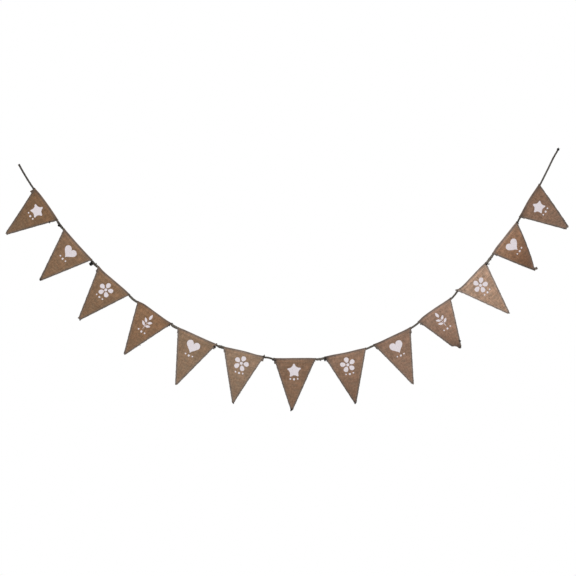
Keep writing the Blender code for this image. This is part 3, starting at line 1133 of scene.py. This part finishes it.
    def thick(self, x, q):
        """Half the cloth's thickness: most where threads cross, least between them."""
        i, j = x / STEP, q / self.step
        a = np.cos(i * math.pi) * 0.5 + 0.5  # 1 on a warp thread
        b = np.cos(j * math.pi) * 0.5 + 0.5
        warp = 1 + 0.20 * np.sin(np.round(i / 2) * 2.37 + self.seed) * np.sin(q / 31.0 + i)
        weft = 1 + 0.20 * np.sin(np.round(j / 2) * 2.11 + self.seed) * np.sin(x / 27.0 + j)
        return 0.24 + 0.235 * (a * warp + b * weft)

    def point(self, x, q, lift):
        """A place lift mm off the cloth's outer side (+), or off its inner side (-)."""
        x, q = np.asarray(x, float), np.asarray(q, float)
        lift = np.broadcast_to(np.asarray(lift, float), x.shape)
        off = np.sign(lift) * self.thick(x, q) + lift
        return self.middle(x, q) + self.normal(x, q) * off[..., None]

    def edge_line(self, which, count=900):
        """An edge in the flat cloth: its points, its ways inwards and its lengths."""
        if which == "hem":
            at, _, _, flare, _ = self.profile(np.zeros(1))
            left, right, _ = self.sides(at, flare)
            x = np.linspace(left[0], right[0], count)
            q = np.zeros(count)
        elif which == "tip":
            at, _, _, flare, _ = self.profile(np.array([self.q_end]))
            left, right, _ = self.sides(at, flare)
            x = np.linspace(left[0], right[0], count)
            q = np.full(count, self.q_end)
        else:
            q = np.linspace(0.0, self.q_end, count)
            at, _, _, flare, _ = self.profile(q)
            left, right, _ = self.sides(at, flare)
            x = left if which == "l" else right
        way = np.stack([np.gradient(x), np.gradient(q)], 1)
        way /= np.linalg.norm(way, axis=1)[:, None]
        inwards = {
            "l": np.stack([way[:, 1], -way[:, 0]], 1),
            "r": np.stack([-way[:, 1], way[:, 0]], 1),
            "hem": np.stack([0 * q, 0 * q + 1], 1),
            "tip": np.stack([0 * q, 0 * q - 1], 1),
        }[which]
        along = np.concatenate(
            [[0.0], np.cumsum(np.hypot(np.diff(x), np.diff(q)))]
        )
        return x, q, inwards, along

    def build(self, material):
        rows = round(self.q_end / STEP)
        self.step = self.q_end / rows
        q_rows = np.arange(rows + 1) * self.step
        at, _, _, flare, _ = self.profile(q_rows)
        left, right, _ = self.sides(at, flare)
        xs, qs, kind, lines = [], [], [], []
        count = 0
        for j in range(rows + 1):
            i0 = math.ceil((left[j] + 0.4 * STEP) / STEP)
            i1 = math.floor((right[j] - 0.4 * STEP) / STEP)
            row = [left[j], *(np.arange(i0, i1 + 1) * STEP), right[j]]
            lines.append((count, row))
            xs += row
            qs += [q_rows[j]] * len(row)
            kind += [1] + [0] * (len(row) - 2) + [2]
            count += len(row)
        xs, qs, kind = np.array(xs), np.array(qs), np.array(kind)
        faces = []
        for (a0, a), (b0, b) in zip(lines, lines[1:], strict=False):
            i = j = 0
            while i < len(a) - 1 or j < len(b) - 1:
                if j == len(b) - 1 or (i < len(a) - 1 and a[i + 1] <= b[j + 1] + 1e-6):
                    faces.append((a0 + i, b0 + j, a0 + i + 1))
                    i += 1
                else:
                    faces.append((a0 + i, b0 + j, b0 + j + 1))
                    j += 1
        faces = np.array(faces)
        middle, normal = self.middle(xs, qs), self.normal(xs, qs)
        half = np.where(kind > 0, 0.42, self.thick(xs, qs))
        front, back = middle + normal * half[:, None], middle - normal * half[:, None]

        # the rim: round the sheet from its first corner, a little outside of it
        edge = [a0 for a0, _ in lines]
        edge += [lines[-1][0] + i for i in range(1, len(lines[-1][1]))]
        edge += [a0 + len(a) - 1 for a0, a in reversed(lines[:-1])]
        edge += [lines[0][0] + i for i in range(len(lines[0][1]) - 2, 0, -1)]
        edge = np.array(edge)
        ex, eq = xs[edge], qs[edge]
        out_x = np.where(kind[edge] == 1, -1.0, np.where(kind[edge] == 2, 1.0, 0.0))
        out_q = np.where(eq < 1e-6, -1.0, np.where(eq > self.q_end - 1e-6, 1.0, 0.0))
        across = self.middle(ex + 0.3, eq) - self.middle(ex - 0.3, eq)
        low, high = np.clip(eq - 0.3, 0.0, None), np.clip(eq + 0.3, None, self.q_end)
        downward = self.middle(ex, high) - self.middle(ex, low)
        across /= np.linalg.norm(across, axis=1)[:, None]
        downward /= np.linalg.norm(downward, axis=1)[:, None]
        rim = middle[edge] + 0.28 * (across * out_x[:, None] + downward * out_q[:, None])

        n, m = len(xs), len(edge)
        verts = np.concatenate([front, back, rim])
        turn = np.roll(np.arange(m), -1)
        rim_front = np.stack([edge[turn], edge, 2 * n + np.arange(m), 2 * n + turn], 1)
        rim_back = np.stack(
            [n + edge, n + edge[turn], 2 * n + turn, 2 * n + np.arange(m)], 1
        )
        all_faces = [
            *map(tuple, faces.tolist()),
            *map(tuple, (faces[:, ::-1] + n).tolist()),
            *map(tuple, rim_front.tolist()),
            *map(tuple, rim_back.tolist()),
        ]

        # maps: the weave's, and one for the bake with the inner side, its tip up,
        # beside the outer one
        x_low = xs.min()
        span, over = self.bake_span(left - x_low, right - x_low, q_rows)
        flat_x = np.concatenate([xs, xs, ex + out_x * 0.5])
        flat_q = np.concatenate([qs, qs, eq + out_q * 0.5])
        u, v = (flat_x - x_low + 2) / span, (flat_q + 2) / span
        on_front = np.stack([u, 1 - v], 1)
        on_back = np.stack([u + over / span, v], 1)
        cloth = np.stack([flat_x / PITCH, flat_q / (2 * self.step)], 1)
        other = cloth + np.array([1.0, 0.0])
        pick = [
            (faces, 0),
            (faces[:, ::-1] + n, 1),
            (rim_front, 0),
            (rim_back, 1),
        ]
        bake = np.concatenate([(on_back if b else on_front)[f.ravel()] for f, b in pick])
        woven = np.concatenate([(other if b else cloth)[f.ravel()] for f, b in pick])

        at, _, _, flare, _ = self.profile(flat_q)
        edge_l, edge_r, part = self.sides(at, flare)
        edge_far = np.minimum(
            np.minimum(flat_x - edge_l, edge_r - flat_x),
            np.minimum(flat_q, self.q_end - flat_q + 2.0),
        )
        tone = TONE_AND_PAINTED_LIGHT[self.k]
        across_share = (flat_x - edge_l) / np.maximum(edge_r - edge_l, 1.0)
        # painted light and shade down the cloth on top of its own tone: lighter over the
        # casing, which leans away from the lamps, and darker at curled tips
        deep = np.abs(flat_q - self.q_crest)  # the way down from the fold
        light = np.interp(
            deep,
            [8, 15, 19, 45, 95, 150],
            [tone[c] for c in ("casing", "casing", "top", "top", "half", "tip")],
        )
        # painted light: the right side lighter than the left
        light = light * (1 + tone["side"] * (2 * across_share - 1) * (1 - part))
        warm = np.interp(deep, [12, 150], [tone["warm_top"], tone["warm_tip"]])
        # painted shade: a dark line along the fold, over the cord
        crown = (flat_q - self.q_crest - FOLD_SHADE_AT) / FOLD_SHADE_WIDE
        light = light * (1 - tone["fold"] * np.exp(-(crown**2)))
        # painted shade spots at corners and bends
        light = light * self.painted_shade(flat_x, flat_q)
        # the cloth near its edges is made lighter or darker along with its painted light
        side = np.where(across_share < 0.5, tone["edge_l"], tone["edge_r"])
        near = 1 - soft((np.minimum(flat_x - edge_l, edge_r - flat_x) - 4.0) / 8.0)
        light = light * (1 + (side - 1) * 0.6 * near)
        # the edge tint also runs along the fold, there as painted shade
        edge_far = np.minimum(edge_far, 2.8 + np.abs(crown) * 2.4)
        piece = new_object(
            f"burlap_{self.k + 1:02d}",
            verts,
            all_faces,
            material,
            maps=[("OFBake", bake), ("weave", woven)],
            numbers=[
                ("edge", np.maximum(edge_far, 0.0)),
                ("tone", light),
                ("warm", warm),
            ],
        )
        self.area = float(((right - left) * self.step).sum() * 1e-6)
        self.width_cut = float(right.max() - left.min())
        return piece

    def bake_span(self, left, right, q):
        """Side of the square that holds both sides of the cloth, with at least 4 mm
        between them, and how far over the second one is."""
        span = self.q_end + 4.0
        while True:
            level = span - 4.0 - q  # the outer side's q beside each q of the inner one
            edge = np.where(level <= q[-1], np.interp(level, q, right), 0.0)
            over = max((edge - left).max() + 4.0, 0.0)
            if over + right.max() + 4.0 <= span:
                return span, over
            span += 1.0


# ------------------------------------------------------------------- sewing and fuzz
def edging(cloth, tubes):
    """The overlock: thread that zigzags over the edge, on both faces."""
    for which in ("l", "r", "hem", "tip"):
        x, q, inwards, along = cloth.edge_line(which)
        if which == "hem":
            span = (along > 2.0) & (along < along[-1] - 2.0)
        elif which == "tip":
            span = along >= 0
        else:
            span = (along > 0.5) & (along < along[-1] - 0.5)
        start, end = along[span][0], along[span][-1]
        stitches = max(2, round((end - start) / STITCH))
        pattern = np.array(
            [
                (0.00, EDGING, 0.20),
                (0.22, 0.10, 0.24),
                (0.28, -0.45, -0.10),
                (0.50, EDGING, -0.20),
                (0.72, 0.10, -0.24),
                (0.78, -0.45, 0.10),
            ]
        )
        t = (np.arange(stitches)[:, None] + pattern[None, :, 0]).ravel()
        n = len(t)
        place = start + t / stitches * (end - start)
        uneven = 1 + 0.12 * wobble(place, cloth.seed + ord(which[0]), 4.0)
        inset = np.tile(pattern[:, 1], stitches)
        inset = np.where(inset > 1, inset * uneven, inset)
        lift = np.tile(pattern[:, 2], stitches)
        bx, bq = np.interp(place, along, x), np.interp(place, along, q)
        nx = np.interp(place, along, inwards[:, 0])
        nq = np.interp(place, along, inwards[:, 1])
        fx = bx + nx * inset
        fq = np.clip(bq + nq * inset, None, cloth.q_end + 0.4)
        middle, normal = cloth.middle(fx, np.clip(fq, 0.0, None)), cloth.normal(fx, fq)
        half = np.where(inset > 0, 0.50, 0.22)
        line = middle + normal * (np.sign(lift) * half + lift)[:, None]
        if which in ("hem", "tip"):  # beyond the cloth's end, straight on
            beyond = np.clip(-inset, 0.0, None)
            e = 0.5 if which == "hem" else -0.5
            back = cloth.middle(bx, bq) - cloth.middle(bx, bq + e)
            back /= np.linalg.norm(back, axis=1)[:, None]
            line = line + back * beyond[:, None]
        radius = 0.37 + 0.03 * wobble(np.arange(n) * 1.0, cloth.seed, 3.0)
        # the overlock's lightness follows the cloth's painted light
        pale = TONE_AND_PAINTED_LIGHT[cloth.k]["edge_l" if which == "l" else "edge_r"]
        # the painted shade spots darken the thread too
        shade = pale * cloth.painted_shade(fx, fq)
        sides = 4 if which != "hem" else 3
        tubes.add(line, radius, sides, own=ord(which[0]) % 7, shade=shade)
        if which in ("l", "r"):  # the needle's row along the inner ends
            places = np.arange(start + STITCH * 2, end, STITCH * 2)
            for layer in (1, -1):
                lines = []
                for share, lift in ((-0.42, 0.02), (0.0, 0.30), (0.42, 0.02)):
                    place = places + share * STITCH * 2
                    uneven = 1 + 0.12 * wobble(place, cloth.seed + ord(which[0]), 4.0)
                    inset = (EDGING + 0.25) * uneven
                    nx = np.interp(place, along, inwards[:, 0])
                    nq = np.interp(place, along, inwards[:, 1])
                    fx = np.interp(place, along, x) + nx * inset
                    fq = np.interp(place, along, q) + nq * inset
                    off = layer * (0.50 + lift)
                    lines.append(cloth.middle(fx, fq) + cloth.normal(fx, fq) * off)
                # the painted shade spots darken the needle's row too
                shade = pale * cloth.painted_shade(fx, fq)
                for stitch, light in zip(np.stack(lines, 1), shade, strict=True):
                    tubes.add(stitch, 0.33, 3, own=2, shade=light)


def seam(cloth, tubes):
    """The row of straight stitches that closes the casing, on both faces."""
    for q, layer in ((cloth.q_front - 1.2, 1), (cloth.q_back + 1.2, 2)):
        at, _, _, flare, _ = cloth.profile(np.array([q]))
        left, right, _ = cloth.sides(at, flare)
        start, end = left[0] + 1.5, right[0] - 1.5
        count = round((end - start) / 3.9)
        for k in range(count):
            a = start + (end - start) * (k + 0.10) / count
            b = start + (end - start) * (k + 0.90) / count
            x = np.linspace(a, b, 5)
            dip = q + 0.35 * wobble(x, cloth.seed + layer, 17.0)
            lift = np.array([-0.35, 0.16, 0.26, 0.16, -0.35])
            half = cloth.thick(x, dip) * 0.25 + 0.42
            line = cloth.middle(x, dip) + cloth.normal(x, dip) * (half + lift)[:, None]
            tubes.add(line, 0.34, 4, own=k % 5)


def thread_ends(cloth, tubes, sewn):
    """Ends of the overlock's chain, at corners, on the edges and at the tip. The ones
    painted nearly black as shade go to tubes and the others to sewn."""
    for n, row in enumerate(TAILS):
        if row["on"] != cloth.k + 1:
            continue
        x, q, inwards, along = cloth.edge_line(row["side"])
        if row["side"] == "tip":
            place = row["down"] * along[-1]
        else:
            crest = np.interp(cloth.q_crest, q, along)
            place = crest + row["down"] * (along[-1] - crest)
        bx, bq, nx, nq = (
            np.interp(place, along, v) for v in (x, q, inwards[:, 0], inwards[:, 1])
        )
        spots = np.array([4.0, 0.0])
        start, edge = cloth.point(bx + nx * spots, bq + nq * spots, 0.4)
        t = np.linspace(0.0, 1.0, 10)[:, None]
        reach = flat(row["end_x"], row["end_z"])
        line = start * (1 - t) ** 2 + edge * 2 * t * (1 - t) + (edge + reach) * t * t
        line += rng.uniform(-0.6, 0.6, 3) * np.sin(math.pi * t) * t
        kind = tubes if row["dark"] else sewn
        rope(kind, line, lengths(line), row["thick"] / 2, 5.5, 5, 3 * n, (0, 0.4))


def fuzz(cloth, tubes, count):
    """Short fibres that stand off the cloth and its edges."""
    for n in range(count):
        if n % 3 == 0:
            which = "l" if rng.rand() < 0.5 else "r"
            x, q, inwards, along = cloth.edge_cache[which]
            place = rng.uniform(cloth.q_crest, along[-1])
            bx, bq = np.interp(place, along, x), np.interp(place, along, q)
            out = -np.array([np.interp(place, along, inwards[:, c]) for c in (0, 1)])
            reach = rng.uniform(0.8, 3.0)
            turn = rng.uniform(-2.0, 2.0)
            xs = np.array([bx, bx + out[0] * reach * 0.6, bx + out[0] * reach])
            qs = np.array([bq, bq + out[1] * reach * 0.6, bq + out[1] * reach + turn])
            lift = np.array([0.2, 0.3, rng.uniform(0.0, 0.8)])
        else:
            q0 = rng.uniform(cloth.q_crest, cloth.q_end - 6)
            at, _, _, flare, _ = cloth.profile(np.array([q0]))
            left, right, _ = cloth.sides(at, flare)
            x0 = rng.uniform(left[0] + 2, right[0] - 2)
            a = rng.uniform(0, 2 * math.pi)
            reach = rng.uniform(2.0, 6.0)
            xs = x0 + np.array([0.0, 0.5, 1.0]) * math.cos(a) * reach
            qs = q0 + np.array([0.0, 0.5, 1.0]) * math.sin(a) * reach
            side = 1 if rng.rand() < 0.7 else -1
            lift = side * np.array([0.05, rng.uniform(0.5, 1.3), rng.uniform(0.2, 1.6)])
        line = cloth.point(xs, np.clip(qs, 0.5, cloth.q_end - 0.5), lift)
        tubes.add(line, [0.10, 0.09, 0.04], 3, own=n % 9)


# ------------------------------------------------------------------------ the figures
def ring_of(points, rounds):
    """A closed outline with its corners rounded."""
    points = np.asarray(points, float)
    for _ in range(rounds):
        after = np.roll(points, -1, axis=0)
        points = np.stack([points * 0.75 + after * 0.25, points * 0.25 + after * 0.75], 1)
        points = points.reshape(-1, 2)
    return points


def spaced_ring(points, gap):
    closed = np.concatenate([points, points[:1]])
    along = np.concatenate(
        [[0.0], np.cumsum(np.linalg.norm(np.diff(closed, axis=0), axis=1))]
    )
    count = max(8, round(along[-1] / gap))
    places = np.arange(count) * along[-1] / count
    return np.stack([np.interp(places, along, closed[:, c]) for c in (0, 1)], 1)


def turned(points, degrees):
    a = math.radians(degrees)
    turn = np.array([[math.cos(a), -math.sin(a)], [math.sin(a), math.cos(a)]])
    return np.asarray(points) @ turn.T


def leaf_shape(length, width, lean):
    """A pointed leaf from the origin upwards."""
    t = np.linspace(0, 1, 16)
    half = width / 2 * np.sin(math.pi * t) ** 0.8 * (1.15 - 0.45 * t)
    right = np.stack([half, t * length], 1)
    left = np.stack([-half[::-1], t[::-1] * length], 1)
    return turned(np.concatenate([right, left[1:-1]]), -lean)


def disc(x, y, radius):
    a = np.linspace(0, 2 * math.pi, 24, endpoint=False)
    return np.stack([x + radius * np.cos(a), y + radius * np.sin(a)], 1)


def figure(kind):
    """Outlines of a figure about 1 across, x to the right and y up."""
    if kind == "star":
        a = np.arange(10) * math.pi / 5
        far = np.where(np.arange(10) % 2 == 0, 0.53, 0.245)
        return [ring_of(np.stack([far * np.sin(a), far * np.cos(a)], 1), 2)]
    if kind == "heart":
        t = np.linspace(0, 2 * math.pi, 60, endpoint=False)
        x = 16 * np.sin(t) ** 3
        y = (
            13 * np.cos(t) - 5 * np.cos(2 * t) - 2 * np.cos(3 * t) - np.cos(4 * t)
        )
        return [np.stack([x, y + 2.4], 1)[::-1] / 32.5]
    if kind == "flower":
        petals = []
        for k in range(5):
            t = np.linspace(0, 2 * math.pi, 28, endpoint=False)
            y = 0.325 - 0.185 * np.cos(t)
            x = 0.150 * np.sin(t) * (1 + 0.22 * -np.cos(t))
            petals.append(turned(np.stack([x, y], 1), 72 * k))
        return [*petals, disc(0, 0, 0.105)]
    shapes = []
    stem = [(-0.018, -0.52), (0.018, -0.52), (0.014, 0.12), (-0.014, 0.12)]
    shapes.append(ring_of(stem, 1))
    for y, lean, long in (
        (-0.28, 58, 0.33),
        (-0.06, 50, 0.33),
        (0.13, 0, 0.40),
    ):
        if lean:
            for side in (-1, 1):
                leaf = leaf_shape(long, 0.165, side * lean)
                shapes.append(leaf + np.array([side * 0.034, y]))
        else:
            shapes.append(leaf_shape(long, 0.19, 0) + np.array([0, y + 0.03]))
    return shapes


def inside(points, ring):
    """Whether each point is inside the outline, and how far it is from it."""
    a, b = ring, np.roll(ring, -1, axis=0)
    px, py = points[:, 0][:, None], points[:, 1][:, None]
    crosses = (a[:, 1] > py) != (b[:, 1] > py)
    slope = (b[:, 0] - a[:, 0]) / np.where(b[:, 1] == a[:, 1], 1e-9, b[:, 1] - a[:, 1])
    hits = crosses & (px < slope * (py - a[:, 1]) + a[:, 0])
    d = b - a
    t = ((px - a[:, 0]) * d[:, 0] + (py - a[:, 1]) * d[:, 1]) / (d**2).sum(1)
    t = np.clip(t, 0, 1)
    far = np.hypot(px - a[:, 0] - t * d[:, 0], py - a[:, 1] - t * d[:, 1]).min(1)
    return hits.sum(1) % 2 == 1, far


def make_figure(cloth, material):
    """The printed figure, a closed skin over the threads of the cloth."""
    row = PRINT[cloth.k]
    depth = 45.0 - CREST
    left, right, _ = cloth.sides(np.array([depth]), np.zeros(1))
    centre = np.array([(left[0] + right[0]) / 2, cloth.q_front + depth - CLOSED])
    shapes = [turned(s, row["turn"]) * row["size"] for s in figure(row["figure"])]
    low = min(s[:, 1].min() for s in shapes)
    for x, y, radius in ((-13.0, 1.6, 2.9), (0.0, 0.0, 3.8), (13.0, 1.6, 2.9)):
        shapes.append(disc(x, low - 9.0 + y, radius))
    verts, faces, spots, under = [], [], [], []
    count = 0
    for shape in shapes:
        ring = spaced_ring(shape, 1.1) * np.array([1.0, -1.0]) + centre
        after = np.roll(ring, -1, axis=0)
        if (ring[:, 0] * after[:, 1] - after[:, 0] * ring[:, 1]).sum() < 0:
            ring = ring[::-1]
            after = np.roll(ring, -1, axis=0)
        before = np.roll(ring, 1, axis=0)
        out = (after - before)[:, ::-1] * np.array([1.0, -1.0])
        out /= np.linalg.norm(out, axis=1)[:, None]
        i = np.arange(
            math.floor(ring[:, 0].min() / STEP), math.ceil(ring[:, 0].max() / STEP) + 1
        )
        j = np.arange(
            math.floor(ring[:, 1].min() / cloth.step),
            math.ceil(ring[:, 1].max() / cloth.step) + 1,
        )
        gx, gy = np.meshgrid(i * STEP, j * cloth.step)
        grid = np.stack([gx.ravel(), gy.ravel()], 1)
        within, far = inside(grid, ring)
        grid = grid[within & (far > 0.45)]
        n = len(ring)
        co, _, tri, _, _, _ = geometry.delaunay_2d_cdt(
            [Vector(p) for p in np.concatenate([ring, grid]).tolist()],
            [(k, (k + 1) % n) for k in range(n)],
            [],
            0,
            1e-5,
        )
        co = np.array([tuple(c) for c in co])
        tri = np.array([tuple(t) for t in tri])
        keep, _ = inside(co[tri].mean(1), ring)
        tri = tri[keep]
        a, b, c = co[tri[:, 0]], co[tri[:, 1]], co[tri[:, 2]]
        area = (b - a)[:, 0] * (c - a)[:, 1] - (b - a)[:, 1] * (c - a)[:, 0]
        tri[area > 0] = tri[area > 0][:, ::-1]
        order = [int(np.argmin(((co - p) ** 2).sum(1))) for p in ring]
        m = len(co)
        middle = cloth.middle(co[:, 0], co[:, 1])
        normal = cloth.normal(co[:, 0], co[:, 1])
        half = cloth.thick(co[:, 0], co[:, 1])
        _, far = inside(co, ring)
        verts += [
            middle + normal * (half + 0.03 + 0.09 * soft(far / 0.9))[:, None],
            middle + normal * (half - 0.16)[:, None],
        ]
        for t in tri.tolist():
            faces.append(tuple(count + v for v in t))
            spots += [co[v] for v in t]
            under += [0, 0, 0]
        for t in tri.tolist():
            faces.append(tuple(count + m + v for v in t[::-1]))
            spots += [co[v] for v in t[::-1]]
            under += [1, 1, 1]
        for k in range(n):
            e = (k + 1) % n
            a, b = count + order[k], count + order[e]
            faces.append((a, b, m + b, m + a))
            spots += [ring[k], ring[e], ring[e] + out[e] * 0.4, ring[k] + out[k] * 0.4]
            under += [0, 0, 0, 0]
        count += 2 * m
    spots, under = np.array(spots), np.array(under)
    corner = spots.min(0) - 0.5
    wide, tall = spots.max(0) - corner + 0.5
    # in the bake's map the outer skin is at the left and the inner one, small, beside it
    size = max(tall, wide * 1.3)
    bake = (spots - corner) / size
    bake[:, 1] = 1 - bake[:, 1]
    small = np.stack(
        [
            wide / size + 0.005 + (spots[:, 0] - corner[0]) / size * 0.28,
            (spots[:, 1] - corner[1]) / size * 0.28,
        ],
        1,
    )
    return new_object(
        f"figure_{cloth.k + 1:02d}",
        np.concatenate(verts),
        faces,
        material,
        maps=[
            ("OFBake", np.where(under[:, None] == 1, small, bake)),
            ("weave", spots / np.array([PITCH, 2 * cloth.step])),
        ],
    )


# ---------------------------------------------------------------------------- making
make_camera()
tops, points, held = route()
twine = make_thread(
    "twine", (0.020, 0.0168, 0.0135), (0.084, 0.075, 0.064), 0.12, 0.4, 0.0004
)
# a copy of the twine painted nearly black: shade in the tight knots
shaded_twine = make_thread(
    "shaded_twine", (0.003, 0.002, 0.002), (0.011, 0.009, 0.007), 0.12, 0.6, 0.0004
)
light_twine = make_thread(
    "light_twine", (0.024, 0.019, 0.014), (0.096, 0.079, 0.060), 0.12, 0.4, 0.0004
)
make_cord(points, tops, twine, shaded_twine, light_twine)

overlock = make_thread(
    "overlock", (0.096, 0.077, 0.062), (0.200, 0.163, 0.134), 0.8, 0.0, 0.0002
)
# a copy of the overlock thread painted nearly black: shade at corners and tips
shaded_thread = make_thread(
    "thread_ends", (0.006, 0.005, 0.004), (0.022, 0.017, 0.014), 0.8, 0.0, 0.0002
)
fluff = make_thread(
    "burlap_fibre", (0.150, 0.090, 0.050), (0.270, 0.180, 0.110), 0.3, 0.0, 0.0001
)
white = make_print("print")

for k, (top, first) in enumerate(zip(tops, held, strict=True)):
    cloth = Cloth(k, top, points, first)
    shade = TONE_AND_PAINTED_LIGHT[k]
    burlap = make_burlap(
        f"burlap_{k + 1:02d}", shade["red"], shade["blue"], shade["rough"]
    )
    piece = cloth.build(burlap)
    cloth.edge_cache = {w: cloth.edge_line(w) for w in ("l", "r")}
    sewn = Tubes()
    edging(cloth, sewn)
    seam(cloth, sewn)
    loose = Tubes()
    thread_ends(cloth, loose, sewn)
    edges = sewn.build(f"edging_{k + 1:02d}", overlock)
    stitched = [edges]
    if loose.verts:
        stitched.append(loose.build(f"thread_ends_{k + 1:02d}", shaded_thread))
    hairs = Tubes()
    fuzz(cloth, hairs, 110)
    fibres = hairs.build(f"fuzz_{k + 1:02d}", fluff)
    print_on = make_figure(cloth, white)
    for part, slot in (
        (piece, "burlap"),
        *((s, "overlock") for s in stitched),
        (fibres, "burlap"),
        (print_on, "print"),
    ):
        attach(part, "root")
    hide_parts(f"pennant_{k + 1:02d}")
    cloth.q_end * MM


# ------------------------------------------------------------------- floor and light
def make_stage():
    bpy.ops.mesh.primitive_circle_add(
        vertices=128, radius=3.2, fill_type="NGON", location=(0.94, 0.0, -1.95)
    )
    floor = bpy.context.object
    floor.name = "floor"
    floor.data.materials.append(make_floor("floor"))

    world = bpy.data.worlds.new("studio")
    world.use_nodes = True
    back = world.node_tree.nodes["Background"]
    back.inputs["Color"].default_value = (1.0, 1.0, 1.0, 1.0)
    back.inputs["Strength"].default_value = 1.0
    bpy.context.scene.world = world
    for name, place, power, size in (
        ("key", (-0.6, -5.0, 3.4), 110.0, 3.0),
        ("fill", (3.6, -4.6, 0.6), 30.0, 2.5),
        ("rear", (0.9, 4.5, 2.6), 40.0, 3.0),
    ):
        data = bpy.data.lights.new(name, "AREA")
        data.energy, data.size = power, size
        lamp = bpy.data.objects.new(name, data)
        lamp.location = place
        aim = Vector((0.94, 0.0, -0.45)) - Vector(place)
        lamp.rotation_euler = aim.to_track_quat("-Z", "Y").to_euler()
        bpy.context.scene.collection.objects.link(lamp)
    bpy.context.scene.view_settings.view_transform = "Standard"
    bpy.context.scene.view_settings.look = "None"


make_stage()
bpy.context.view_layer.update()
